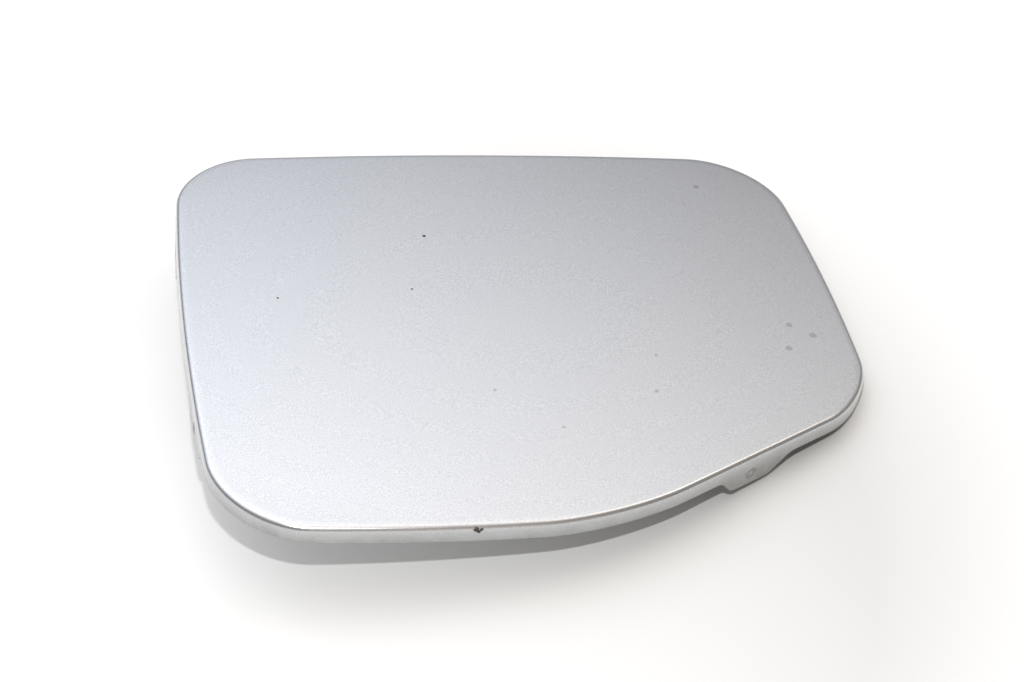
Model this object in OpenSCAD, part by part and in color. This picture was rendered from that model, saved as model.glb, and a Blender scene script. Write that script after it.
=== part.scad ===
// Hinged fuel filler flap for a car body side, lying on its hinge bracket and its two rubber buffers.
// X runs from the hinge to the free edge, Y along the hinge axis to the back, and Z up from the seat.
// Pieces of the flap are drawn in flap coordinates: u from the hinge edge, v from the front edge, w out of the face.

/* [Flap outline] */
// Width of the flap, from its hinge edge to its free edge
flap_w = 190; // [180:1:205]
// Length of the flap along its hinge edge
flap_h = 157.5; // [150:0.5:170]
// Bow of the hinge edge, outwards at its middle
hinge_bow = 4.5; // [3:0.1:6]
// Bow of the free edge
free_bow = 4.6; // [3:0.1:6]
// Bow of the front edge
front_bow = 8.9; // [7:0.1:10]
// Bow of the back edge
back_bow = 2.1; // [1:0.1:4]
// Rise of the corner between the hinge edge and the front edge
front_corner_rise = 5.1; // [3:0.1:7]
// Distance from the hinge edge at which the front edge turns into the slanted edge
slant_start = 106.3; // [100:0.1:112]
// Rise of the slanted edge at its start
slant_start_rise = 9.3; // [8:0.1:12]
// Rise of the slanted edge where it meets the free edge
slant_end_rise = 43.5; // [38:0.1:50]
// Radius of the corner between the hinge edge and the front edge
front_hinge_r = 22; // [20:0.5:26]
// Radius of the bend from the front edge into the slanted edge
slant_start_r = 111; // [90:1:130]
// Radius of the corner between the slanted edge and the free edge
slant_end_r = 25; // [22:0.5:30]
// Radius of the corner between the free edge and the back edge
back_free_r = 24; // [20:0.5:28]
// Radius of the corner between the back edge and the hinge edge
back_hinge_r = 22; // [20:0.5:26]

/* [Outer skin] */
// Sheet thickness of the skin
skin_t = 0.8; // [0.6:0.05:1]
// Outer radius of the turned edge
edge_r = 1.5; // [1.2:0.1:2]
// Depth of the turned flange below the face
flange_depth = 5; // [4.5:0.1:5.5]
// Depth of the weld tabs below the face
tab_depth = 10; // [8:0.1:11]
// Radius of the crown from the hinge edge to the free edge
crown_r_u = 3500; // [3000:50:5000]
// Radius of the crown from the front edge to the back edge
crown_r_v = 1500; // [1300:50:2500]

/* [Weld tabs] */
// Distance of the front tab of the hinge edge from its front corner
front_tab_at = 40; // [34:0.5:46]
// Distance of the rear tab of the hinge edge from its front corner
rear_tab_at = 112; // [106:0.5:118]
// Distance of the tab of the slanted edge from the start of that edge
slant_tab_at = 43; // [36:0.5:48]
// Length of the flat end of a tab on the hinge edge
hinge_tab_w = 13; // [10:0.5:16]
// Length of the flat end of the tab on the slanted edge
slant_tab_w = 10; // [8:0.5:14]
// Length of the steep shoulder of a tab
tab_shoulder = 6; // [4:0.5:8]
// Length of the long shoulder of the slanted tab, towards the free edge
tab_long_shoulder = 10; // [8:0.5:14]

/* [Inner panel] */
// Sheet thickness of the inner panel
panel_t = 0.7; // [0.5:0.05:0.9]
// Clearance between the two nested flanges
nest_gap = 0.3; // [0.2:0.05:0.5]
// Gap for the sealing paste between the skin and the border of the panel
land_gap = 0.4; // [0.3:0.05:0.8]
// How much shorter the flange of the panel is than that of the skin
panel_flange_short = 0.8; // [0.4:0.1:1.5]
// Width of the border, from the outline to the pressed step
land_w = 12; // [10:0.5:13]
// Width of the pressed step
step_w = 3.5; // [3:0.1:4.5]
// Depth of the pressed middle below the face
middle_depth = 5.2; // [4.8:0.1:5.6]
// Outer radius of the turned edge of the panel
panel_edge_r = 1.1; // [1:0.1:1.6]
// Overlap of the flat middle and the foot of the step
plate_lap = 1.6; // [1:0.1:2]
// Distance from the hinge arm to the lightening slots
slot_from_arm = 9; // [6:0.5:12]
// Distance from the lightening slots to the striker
slot_from_striker = 6; // [4:0.5:9]
// Distance from the front edge to the front slot
slot_from_front = 31.5; // [31:0.5:36]
// Distance from the back edge to the rear slot
slot_from_back = 25; // [22:0.5:28]
// Width of the strap between the slots, in line with the striker
strap_w = 27; // [26:0.5:30]
// Width of the web between two slots
slot_web = 7; // [5:0.5:9]
// Height of the bead pressed into the strap
bead_h = 1.6; // [1:0.1:2]
// Width of that bead
bead_w = 8; // [6:0.5:9]
// Distance from an end of the bead to the end of the slots
bead_from_end = 6; // [4:0.5:10]
// Diameter of the two gauge holes
gauge_hole_d = 8; // [5:0.5:9]
// Distance from the hinge edge to the first gauge hole
gauge_from_hinge = 32; // [30:0.5:34]
// Distance from the back edge to the gauge holes
gauge_from_back = 27; // [26:0.5:29]
// Diameter of a pad of anti-flutter paste
pad_d = 10; // [7:0.5:12]
// Gap left between the paste and the crown of the skin
pad_gap = 0.25; // [0.2:0.05:0.4]

/* [Hinge] */
// Distance of the hinge axis from the hinge edge
hinge_inset = 15; // [14:0.5:16]
// Distance of the middle of the hinge from the front edge
hinge_mid = 82; // [80:0.5:84]
// Depth of the hinge axis below the face
pivot_depth = 15; // [14.5:0.1:16]
// Height of the hinge axis above the seat
pivot_height = 18; // [17:0.5:20]
// How far the flap rests past its closed place, in degrees
rest_tilt = 8; // [7:0.25:8.5]
// How far the flap opens from its closed place, in degrees
open_angle = 90; // [80:1:95]
// Diameter of the hinge pin
pin_d = 5; // [4.6:0.1:5.4]
// Diameter of the head of the pin
pin_head_d = 8; // [7:0.1:9]
// Thickness of the head of the pin
pin_head_t = 1.5; // [1:0.1:2]
// Running clearance of the pin in a bush, on the radius
pin_play = 0.05; // [0.02:0.01:0.09]
// Side play between two turning faces
side_play = 0.2; // [0.1:0.05:0.4]
// Wall of a bush
bush_wall = 0.95; // [0.8:0.05:1.1]
// Diameter of the flange of a bush
bush_flange_d = 10; // [9:0.1:11]
// Thickness of the flange of a bush
bush_flange_t = 0.8; // [0.6:0.1:1]
// Length by which a bush stands out of its ear
bush_proud = 0.3; // [0.2:0.05:0.5]
// Thickness of the retaining clip
clip_t = 0.7; // [0.5:0.1:0.9]
// Outer diameter of the retaining clip
clip_d = 9; // [8:0.1:10]
// Depth of the groove for the clip
groove_depth = 0.5; // [0.3:0.05:0.7]

/* [Hinge bracket] */
// Width over the ears of the bracket
base_w = 48; // [46:0.5:50]
// Sheet thickness of the bracket
base_t = 2; // [1.5:0.1:2.4]
// Inner radius of the bends of the bracket
base_bend_r = 1.5; // [1:0.1:2]
// Radius of the ears round the pin
base_ear_r = 6; // [5.5:0.1:6.5]
// Distance from the hinge axis to the line of the two screws
screw_line = 22; // [20:0.5:24]
// Distance between the two screws
screw_pitch = 26; // [24:0.5:27]
// Diameter of a screw hole
screw_hole_d = 6.5; // [5.5:0.1:7]
// Length of the plate beyond the line of the screws
base_toe = 14; // [12:0.5:16]
// Length of the plate behind the hinge axis
base_heel = 7; // [5:0.5:7.5]
// Corner radius of the plate
base_corner_r = 5; // [3:0.5:6]

/* [Hinge stops] */
// Outer radius that the stop faces reach
stop_r = 10.5; // [10:0.1:11]
// Height of the stop lug, measured outwards from the axis
lug_h = 3; // [2:0.1:3.5]
// Width of the stop lug
lug_w = 4; // [3:0.1:5]
// Direction of the stop lug below the level of the seat, in degrees
lug_angle = 63; // [60:1:66]
// Length of the lug across the arm
lug_len = 3.2; // [3:0.1:4]
// Width of the arm's stop faces
stop_w = 4; // [3:0.1:4.5]
// Clearance left at a stop
stop_gap = 0.1; // [0.05:0.01:0.2]

/* [Hinge arm] */
// Sheet thickness of the arm
arm_t = 1.6; // [1.2:0.1:2]
// Inner radius of the bends of the arm
arm_bend_r = 1.5; // [1:0.1:2]
// Radius of the arm round the pin
arm_ear_r = 5.5; // [5:0.1:6]
// Distance from the hinge axis to the near edge of the arm's pad
arm_pad_start = 8; // [7.5:0.5:9]
// Distance from the hinge axis to the far edge of the arm's pad
arm_pad_end = 37; // [35:0.5:40]
// Diameter of the two weld studs
stud_d = 5; // [4:0.1:5.5]
// Length of a weld stud below the panel
stud_len = 8; // [7:0.5:9]
// Distance from the hinge axis to the studs
stud_line = 27; // [25:0.5:28]
// Distance between the studs
stud_pitch = 28; // [24:0.5:30]
// Width across the flats of a nut
nut_flats = 8; // [7.6:0.1:9]
// Height of a nut with its flange
nut_h = 5; // [4:0.1:6]
// Diameter of the flange of a nut
nut_flange_d = 11; // [10:0.1:12]
// Length by which a stud hole is longer than it is wide
arm_slot_play = 2.5; // [1:0.1:3]
// Clearance of a stud in its hole, on the radius
stud_play = 0.4; // [0.2:0.05:0.6]
// Diameter of the lightening hole of the arm
arm_hole_d = 14; // [10:0.5:16]

/* [Spring] */
// Wire diameter of the spring
wire_d = 1.6; // [1.2:0.1:1.8]
// Mean radius of the coil
coil_r = 5.3; // [5.2:0.05:5.6]
// Length of the coil along the pin
coil_len = 13; // [12:0.5:16]
// Whole turns of the coil
coil_turns = 6; // [4:1:7]
// Distance along the flap from the hinge axis to the spring's hook
hook_along = 13; // [12.5:0.1:14]
// Height of the hook above the hinge axis, square to the flap
hook_up = 3; // [2:0.1:3.2]
// Length of the hook beyond the arm
hook_proud = 0.8; // [0.4:0.1:1.5]
// Clearance of the wire in its holes, on the radius
wire_play = 0.3; // [0.2:0.05:0.5]
// Outer diameter of the sleeve inside the coil
sleeve_d = 8; // [7.4:0.1:8.2]
// Clearance of the sleeve on the pin, on the radius
sleeve_play = 0.1; // [0.05:0.05:0.3]

/* [Latch striker] */
// Distance of the striker's tongue from the free edge
striker_from_free = 38; // [36:0.5:42]
// Sheet thickness of the striker
striker_t = 1.5; // [1.2:0.1:1.8]
// Width of the striker
striker_w = 18; // [16:0.5:20]
// Length of the foot of the striker
striker_foot = 17; // [15:0.5:19]
// Width of the eye for the lock's bolt
eye_w = 9; // [7:0.5:10]
// Height of the eye
eye_h = 4.6; // [4.3:0.1:5]
// Width of the web below the eye
eye_web = 1.3; // [1:0.1:1.5]
// Diameter of a rivet
rivet_d = 3.2; // [3:0.1:3.6]
// Distance between the two rivets
rivet_pitch = 10; // [9:0.5:11]

/* [Rubber buffers] */
// Distance of the buffers from the free edge
buffer_from_free = 27; // [25:0.5:30]
// Distance of the front buffer from the front edge
buffer_from_front = 62; // [60:0.5:66]
// Distance of the rear buffer from the back edge
buffer_from_back = 37.5; // [34:0.5:42]
// Diameter of a buffer
buffer_d = 11; // [10:0.5:12]
// Diameter of the neck of a buffer
buffer_neck_d = 6; // [5:0.5:7]
// Clearance of the neck in the panel, on the radius
buffer_play = 0.1; // [0.05:0.05:0.3]

/* [Hidden] */
$fn = 48;
ARC_STEPS = 11;
SIDE_STEP = 9;
EDGE_STEPS = 4;

mid_u = flap_w / 2;
mid_v = flap_h / 2;
pin_r = pin_d / 2;

// Corners of the straight-sided outline, counter-clockwise from the front one at the hinge
corner_at = [
    [hinge_bow, front_corner_rise],
    [slant_start, slant_start_rise],
    [flap_w - free_bow, slant_end_rise],
    [flap_w - free_bow, flap_h - back_bow],
    [hinge_bow, flap_h - back_bow]
];
corner_r = [front_hinge_r, slant_start_r, slant_end_r, back_free_r, back_hinge_r];
corners = len(corner_at);
SLANT_SIDE = 1;
HINGE_SIDE = 4;

// Weld tabs: side, place of the middle along it from its first corner, half length, shoulder before, shoulder after
hinge_edge_len = flap_h - back_bow - front_corner_rise;
tabs = [
    [SLANT_SIDE, slant_tab_at, slant_tab_w / 2, tab_shoulder, tab_long_shoulder],
    [HINGE_SIDE, hinge_edge_len - rear_tab_at, hinge_tab_w / 2, tab_shoulder, tab_shoulder],
    [HINGE_SIDE, hinge_edge_len - front_tab_at, hinge_tab_w / 2, tab_shoulder, tab_shoulder]
];

function unit(v) = v / norm(v);
function smooth(t) = let (c = max(0, min(1, t))) c * c * (3 - 2 * c);
function after(i) = (i + 1) % corners;
function before(i) = (i + corners - 1) % corners;
function sorted(v) = len(v) < 2 ? v : let (p = v[floor(len(v) / 2)]) concat(
    sorted([for (x = v) if (x < p) x]), [p], sorted([for (x = v) if (x > p) x]));

function side_dir(i) = unit(corner_at[after(i)] - corner_at[i]);
function half_angle(i) = acos(-side_dir(before(i)) * side_dir(i)) / 2;
function setback(i) = corner_r[i] / tan(half_angle(i));

// One round corner, from the end of one straight to the start of the next
function corner_arc(i) =
    let (centre = corner_at[i] + unit(side_dir(i) - side_dir(before(i))) * corner_r[i] / sin(half_angle(i)))
    let (from = corner_at[i] - side_dir(before(i)) * setback(i) - centre)
    let (start = atan2(from.y, from.x), turn = 180 - 2 * half_angle(i))
    [for (k = [0:ARC_STEPS]) let (a = start + turn * k / ARC_STEPS)
        [centre.x + corner_r[i] * cos(a), centre.y + corner_r[i] * sin(a), 0]];

// How far a tab is let down at a place s along its side: 0 is the flange and 1 the full tab
function tab_fall(tab, s) = s < tab[1]
    ? smooth((s - tab[1] + tab[2] + tab[3]) / tab[3])
    : smooth((tab[1] + tab[2] + tab[4] - s) / tab[4]);
function tab_stations(tab) = concat(
    [for (k = [0:3]) tab[1] - tab[2] - tab[3] * (3 - k) / 3],
    [tab[1]],
    [for (k = [0:3]) tab[1] + tab[2] + tab[4] * k / 3]);
function clear_of_tabs(s, own) =
    len([for (t = own) if (s > t[1] - t[2] - t[3] - 2 && s < t[1] + t[2] + t[4] + 2) 1]) == 0;

// The stations of one side between its two corner arcs
function side_points(i) =
    let (own = [for (t = tabs) if (t[0] == i) t])
    let (first = setback(i), last = norm(corner_at[after(i)] - corner_at[i]) - setback(after(i)))
    let (steps = max(2, round((last - first) / SIDE_STEP)))
    let (even = [for (k = [1:steps - 1]) let (s = first + (last - first) * k / steps)
        if (clear_of_tabs(s, own)) s])
    let (all = sorted(concat(even, [for (t = own) each tab_stations(t)])))
    [for (s = all) let (p = corner_at[i] + side_dir(i) * s) [p.x, p.y, max([0, for (t = own) tab_fall(t, s)])]];

// The bow moves each side out as a shallow parabola
function bowed(p) =
    let (fu = p.x / flap_w, fv = p.y / flap_h)
    let (mid_of_v = 1 - pow(2 * fv - 1, 2), mid_of_u = 1 - pow(2 * fu - 1, 2))
    [p.x + (free_bow * fu - hinge_bow * (1 - fu)) * mid_of_v,
     p.y + (back_bow * fv - front_bow * (1 - fv)) * mid_of_u];

stations = [for (i = [0:corners - 1]) each concat(corner_arc(i), side_points(i))];
rim = [for (s = stations) bowed(s)];
fall = [for (s = stations) s.z];
rim_n = len(rim);
inward = [for (i = [0:rim_n - 1])
    let (t = unit(rim[(i + 1) % rim_n] - rim[(i + rim_n - 1) % rim_n])) [-t.y, t.x]];

function crown(p) = -pow(p.x - mid_u, 2) / (2 * crown_r_u) - pow(p.y - mid_v, 2) / (2 * crown_r_v);

// Rings of points: inset follows the outline, shrunk keeps its shape towards the middle
function inset(d) = [for (i = [0:rim_n - 1]) rim[i] + inward[i] * d];
function shrunk(d) = [for (p = rim)
    [mid_u + (p.x - mid_u) * (1 - 2 * d / flap_w), mid_v + (p.y - mid_v) * (1 - 2 * d / flap_h)]];
function part_way(ring, f) = [for (p = ring) [mid_u + (p.x - mid_u) * f, mid_v + (p.y - mid_v) * f]];
function on_crown(ring, depth) = [for (p = ring) [p.x, p.y, crown(p) - depth]];
function on_flange(d, depth, tab_extra) = [for (i = [0:rim_n - 1])
    let (p = rim[i] + inward[i] * d) [p.x, p.y, crown(p) - depth - tab_extra * fall[i]]];
// A turned edge of radius r whose straight part lies d inside the outline
function turned_edge(d, r, depth) = [for (k = [0:EDGE_STEPS]) let (a = 90 * k / EDGE_STEPS)
    on_crown(inset(d + r * (1 - sin(a))), depth + r * (1 - cos(a)))];
function backwards(list) = [for (i = [len(list) - 1:-1:0]) list[i]];

// Two triangles for each step between neighbouring rings
function band(k, next) = [for (i = [0:rim_n - 1])
    let (j = (i + 1) % rim_n)
    each [[k * rim_n + i, k * rim_n + j, next * rim_n + j], [k * rim_n + i, next * rim_n + j, next * rim_n + i]]];

extra = tab_depth - flange_depth;
skin_rings = concat(
    [for (f = [0.35, 0.7, 0.92]) on_crown(part_way(inset(edge_r), f), 0)],
    turned_edge(0, edge_r, 0),
    [on_flange(0, flange_depth, extra), on_flange(skin_t, flange_depth, extra)],
    backwards(turned_edge(skin_t, edge_r - skin_t, skin_t)),
    [for (f = [0.7, 0.35]) on_crown(part_way(inset(edge_r), f), skin_t)]);

nest = skin_t + nest_gap;
land_depth = skin_t + land_gap;
panel_flange = flange_depth - panel_flange_short;
plate_edge = land_w + step_w + plate_lap;

// The pressed step, drawn down the slope at the given depth into the sheet
function step_rings(t) = [for (k = [0:4]) let (f = k / 4, s = smooth(f))
    [for (p = shrunk(land_w + step_w * f)) [p.x, p.y, (crown(p) - land_depth) * (1 - s) - middle_depth * s - t]]];
function lip_ring(t) = [for (p = shrunk(plate_edge + plate_lap)) [p.x, p.y, -middle_depth - t]];
panel_rings = concat(
    [lip_ring(0)],
    backwards(step_rings(0)),
    turned_edge(nest, panel_edge_r, land_depth),
    [on_flange(nest, panel_flange, extra), on_flange(nest + panel_t, panel_flange, extra)],
    backwards(turned_edge(nest + panel_t, panel_edge_r - panel_t / 2, land_depth + panel_t)),
    step_rings(panel_t),
    [lip_ring(panel_t)]);

middle_under = middle_depth + panel_t;
pad_top = pivot_depth - middle_under;
striker_u = flap_w - striker_from_free;
buffer_u = flap_w - buffer_from_free;
front_buffer_v = buffer_from_front;
rear_buffer_v = flap_h - buffer_from_back;

// Lightening slots fill the middle between the arm and the striker: two in front of the strap and two behind it
slots_start = hinge_inset + arm_pad_end + slot_from_arm;
slots_end = striker_u - striker_foot - slot_from_striker;
slots_u = (slots_start + slots_end) / 2;
slot_len = slots_end - slots_start;
front_slot_w = (hinge_mid - strap_w / 2 - slot_from_front - slot_web) / 2;
rear_slot_w = (flap_h - slot_from_back - hinge_mid - strap_w / 2 - slot_web) / 2;
bead_len = slot_len - 2 * bead_from_end;
gauge_at = [[gauge_from_hinge, flap_h - gauge_from_back], [striker_u - striker_foot / 2, flap_h - gauge_from_back]];

base_in = base_w / 2 - base_t;
arm_in = base_w / 2 + side_play + bush_flange_t;
arm_out = arm_in + arm_t;
bush_end = arm_out + bush_proud;
head_from = bush_end + side_play;
bush_r = pin_r + pin_play + bush_wall;
groove_r = pin_r - groove_depth;
sleeve_in = pin_r + sleeve_play;
pin_x = -screw_line;

// Row frame angle of the spring's hook, seen along the axis
hook_x = hook_along * cos(rest_tilt) + hook_up * sin(rest_tilt);
hook_z = -hook_along * sin(rest_tilt) + hook_up * cos(rest_tilt);
hook_reach = norm([hook_x, hook_z]);
coil_start = atan2(hook_z, hook_x) - acos(coil_r / hook_reach);

// Depth of a buffer's dome centre, so that the dome just meets the seat while the flap rests
buffer_r = buffer_d / 2;
dome_r = buffer_r - 0.5;
dome_depth = pivot_depth - (dome_r - pivot_height + (buffer_u - hinge_inset) * sin(rest_tilt)) / cos(rest_tilt);

paste_at = concat(
    [for (side = [-1, 1]) [hinge_inset + stud_line, hinge_mid + side * (arm_out + pad_d)]],
    [for (side = [-1, 1]) [slots_u, hinge_mid + side * (bead_w + pad_d) / 2]],
    [for (v = [front_buffer_v, rear_buffer_v]) [buffer_u - buffer_d - pad_d / 2, v]]);

eye_top = middle_under + striker_t + 0.1;
striker_end = eye_top + eye_h + eye_web;
rivet_u = striker_u - striker_foot / 2 - 1;

// Flap coordinates, about the hinge axis and at the flap's place at rest
module on_flap() {
    translate([pin_x, 0, pivot_height]) rotate([0, rest_tilt, 0])
        translate([-hinge_inset, -hinge_mid, pivot_depth]) children();
}

// Round the hinge axis, turned with the flap, or square to the seat
module at_pin(tilt = 0) {
    translate([pin_x, 0, pivot_height]) rotate([0, tilt, 0]) children();
}

// A closed sheet lofted through rings: open in the middle, or closed by a fan on each face
module ring_loft(rings) {
    last = len(rings) - 1;
    polyhedron(points = [for (r = rings) each r],
        faces = [for (k = [0:last]) each band(k, k == last ? 0 : k + 1)]);
}

module dish_loft(rings, top, bottom) {
    last = len(rings) - 1;
    top_i = len(rings) * rim_n;
    polyhedron(points = concat([for (r = rings) each r], [top, bottom]),
        faces = concat(
            [for (i = [0:rim_n - 1]) [top_i, (i + 1) % rim_n, i]],
            [for (k = [0:last - 1]) each band(k, k + 1)],
            [for (i = [0:rim_n - 1]) [top_i + 1, last * rim_n + i, last * rim_n + (i + 1) % rim_n]]));
}

module slot_shape(length, width) {
    for (end = [-1, 1]) translate([end * (length - width) / 2, 0]) circle(d = width);
    square([length - width, width], center = true);
}

// A profile in X and Z, given a thickness along Y from y0
module side_plate(y0, t) {
    translate([0, y0 + t, 0]) rotate([90, 0, 0]) linear_extrude(t) children();
}

// A bent channel section with its web on the X axis and its legs upwards
module channel_section(out, t, bend_in, height) {
    bend_out = bend_in + t;
    translate([-out + bend_out, 0]) square([2 * (out - bend_out), t]);
    for (side = [-1, 1]) {
        translate([side * (out - t / 2) - t / 2, bend_out]) square([t, height - bend_out]);
        translate([side * (out - bend_out), bend_out]) intersection() {
            difference() {
                circle(bend_out);
                circle(bend_in);
            }
            translate([side > 0 ? 0 : -bend_out, -bend_out]) square(bend_out);
        }
    }
}

module outer_skin() {
    color("silver") on_flap()
        dish_loft(skin_rings, [mid_u, mid_v, 0], [mid_u, mid_v, -skin_t]);
}

// A pressed bead: the shape of its outer face, or of its hollow when it is drawn one sheet smaller
module bead(shrink) {
    half = bead_w / 2;
    r = (half * half + bead_h * bead_h) / (2 * bead_h);
    run = bead_len / 2 - half;
    translate([slots_u, hinge_mid, bead_h - r]) {
        rotate([0, 90, 0]) cylinder(h = 2 * run, r = r - shrink, center = true);
        for (end = [-1, 1]) translate([end * run, 0, 0]) sphere(r - shrink);
    }
}

module panel_holes() {
    for (k = [0, 1]) {
        translate([slots_u, slot_from_front + front_slot_w / 2 + k * (front_slot_w + slot_web)])
            slot_shape(slot_len, front_slot_w);
        translate([slots_u, flap_h - slot_from_back - rear_slot_w / 2 - k * (rear_slot_w + slot_web)])
            slot_shape(slot_len, rear_slot_w);
    }
    for (p = gauge_at) translate(p) circle(d = gauge_hole_d);
    for (v = [front_buffer_v, rear_buffer_v]) translate([buffer_u, v]) circle(buffer_neck_d / 2 + buffer_play);
    for (side = [-1, 1]) translate([rivet_u, hinge_mid + side * rivet_pitch / 2]) circle(d = rivet_d);
}

module inner_panel() {
    color("lightsteelblue") on_flap() {
        ring_loft(panel_rings);
        translate([0, 0, -middle_depth]) difference() {
            union() {
                translate([0, 0, -panel_t]) linear_extrude(panel_t) difference() {
                    polygon(shrunk(plate_edge));
                    panel_holes();
                }
                intersection() {
                    bead(0);
                    translate([slots_u - bead_len, hinge_mid - bead_w, -panel_t / 2])
                        cube([2 * bead_len, 2 * bead_w, bead_h + panel_t]);
                }
            }
            bead(panel_t);
        }
    }
}

module flutter_pads() {
    color("dimgray") on_flap() for (p = paste_at)
        translate([p.x, p.y, -middle_depth]) cylinder(h = middle_depth - skin_t + crown(p) - pad_gap, d = pad_d);
}

// One side of the arm, round the pin, with its two stop faces
module arm_profile() {
    hull() {
        circle(arm_ear_r);
        translate([arm_pad_start, pad_top - arm_t]) square([arm_pad_end - arm_pad_start, arm_t]);
    }
    rotate(rest_tilt - lug_angle) translate([0, lug_w / 2 + stop_gap]) square([stop_r, stop_w]);
    rotate(-open_angle - lug_angle) translate([0, -lug_w / 2 - stop_gap - stop_w]) square([stop_r, stop_w]);
}

module hinge_arm() {
    color("gainsboro") at_pin(rest_tilt) difference() {
        intersection() {
            translate([-2 * stop_r, 0, pad_top]) mirror([0, 0, 1]) rotate([90, 0, 90])
                linear_extrude(arm_pad_end + 2 * stop_r)
                    channel_section(arm_out, arm_t, arm_bend_r, pad_top + 2 * stop_r);
            side_plate(-arm_out, 2 * arm_out) arm_profile();
        }
        translate([0, -arm_out - 1, 0]) rotate([-90, 0, 0]) cylinder(h = 2 * arm_out + 2, r = bush_r);
        translate([hook_along, 0, hook_up]) rotate([-90, 0, 0]) cylinder(h = arm_out + 1, r = wire_d / 2 + wire_play);
        translate([0, 0, pad_top - arm_t - 1]) linear_extrude(arm_t + 2) {
            for (side = [-1, 1]) translate([stud_line, side * stud_pitch / 2])
                slot_shape(stud_d + 2 * stud_play + arm_slot_play, stud_d + 2 * stud_play);
            translate([stud_line - 4, 0]) circle(d = arm_hole_d);
        }
    }
}

module at_studs() {
    at_pin(rest_tilt) for (side = [-1, 1]) translate([stud_line, side * stud_pitch / 2, pad_top]) children();
}

module arm_studs() {
    color("goldenrod") at_studs() translate([0, 0, -stud_len]) {
        translate([0, 0, 0.5]) cylinder(h = stud_len - 0.5, d = stud_d);
        cylinder(h = 0.5, d1 = stud_d - 1, d2 = stud_d);
    }
}

module arm_nuts() {
    color("goldenrod") at_studs() translate([0, 0, -arm_t - nut_h]) difference() {
        union() {
            cylinder(h = nut_h, d = nut_flats / cos(30), $fn = 6);
            translate([0, 0, nut_h - 1.2]) cylinder(h = 1.2, d = nut_flange_d);
        }
        translate([0, 0, -1]) cylinder(h = nut_h + 2, d = stud_d);
    }
}

// A flanged bush in one ear of the arm: side is -1 at the front and 1 at the back
module bush(side) {
    at_pin(rest_tilt) rotate([-90 * side, 0, 0]) translate([0, 0, arm_in - bush_flange_t]) difference() {
        union() {
            cylinder(h = bush_flange_t, d = bush_flange_d);
            cylinder(h = bush_end - arm_in + bush_flange_t, r = bush_r);
        }
        translate([0, 0, -1]) cylinder(h = arm_out, r = pin_r + pin_play);
    }
}

module front_bush() {
    color("ivory") bush(-1);
}

module rear_bush() {
    color("ivory") bush(1);
}

module base_profile() {
    hull() {
        circle(base_ear_r);
        translate([-base_heel, -pivot_height]) square([base_heel + screw_line + base_toe, base_t + base_bend_r]);
    }
}

module hinge_base() {
    base_len = base_heel + screw_line + base_toe;
    color("darkgray") at_pin() {
        difference() {
            intersection() {
                translate([-base_heel, 0, -pivot_height]) rotate([90, 0, 90]) linear_extrude(base_len)
                    channel_section(base_w / 2, base_t, base_bend_r, pivot_height + base_ear_r);
                side_plate(-base_w / 2, base_w) base_profile();
                translate([-base_heel, -base_w / 2, -pivot_height - 1]) linear_extrude(2 * pivot_height) hull() {
                    square([1, base_w]);
                    for (y = [base_corner_r, base_w - base_corner_r])
                        translate([base_len - base_corner_r, y]) circle(base_corner_r);
                }
            }
            translate([0, -base_w, 0]) rotate([-90, 0, 0]) cylinder(h = 2 * base_w, r = pin_r);
            for (side = [-1, 1]) translate([screw_line, side * screw_pitch / 2, -pivot_height - 1])
                cylinder(h = base_t + 2, d = screw_hole_d);
            translate([coil_r, -coil_len / 2, -pivot_height - 1]) cylinder(h = base_t + 2, r = wire_d / 2 + wire_play);
        }
        for (side = [-1, 1]) mirror([0, side < 0 ? 1 : 0, 0])
            side_plate(base_w / 2 - base_t, base_t + lug_len) rotate(-lug_angle)
                translate([stop_r - lug_h, -lug_w / 2]) square([lug_h, lug_w]);
    }
}

module hinge_pin() {
    tail = 0.6;
    groove_from = head_from + clip_t / 2;
    end = groove_from + clip_t + 0.1 + 1.2;
    color("silver") at_pin() rotate([-90, 0, 0]) difference() {
        union() {
            translate([0, 0, -head_from - pin_head_t]) cylinder(h = pin_head_t, d = pin_head_d);
            translate([0, 0, -head_from]) cylinder(h = head_from + end - tail, r = pin_r);
            translate([0, 0, end - tail]) cylinder(h = tail, r1 = pin_r, r2 = pin_r - tail);
        }
        translate([0, 0, groove_from]) difference() {
            cylinder(h = clip_t + 0.1, r = pin_r + 1);
            translate([0, 0, -1]) cylinder(h = clip_t + 2, r = groove_r);
        }
    }
}

module pin_clip() {
    color("dimgray") at_pin() rotate([-90, 0, 0]) translate([0, 0, head_from + clip_t / 2 + 0.05])
        linear_extrude(clip_t) difference() {
            circle(d = clip_d);
            circle(groove_r);
            translate([0, -groove_r * 0.85]) square([clip_d, groove_r * 1.7]);
            for (a = [120, 240]) rotate(a) translate([clip_d / 2 - 1.2, 0]) rotate(180) circle(0.7);
        }
}

module spring_sleeve() {
    color("ivory") at_pin() rotate([-90, 0, 0]) difference() {
        cylinder(h = 2 * (base_in - side_play), d = sleeve_d, center = true);
        cylinder(h = 3 * base_in, r = sleeve_in, center = true);
    }
}

// A round wire swept along a path, with rings that stay square to it
WIRE_SIDES = 8;
COIL_STEPS = 20;
function path_dir(path, i) =
    unit(path[min(i + 1, len(path) - 1)] - path[max(i - 1, 0)]);
function carried(side, dir) = unit(side - dir * (side * dir));
function carry(path, i, side) = i == len(path) ? [] :
    let (s = carried(side, path_dir(path, i))) concat([s], carry(path, i + 1, s));

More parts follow.
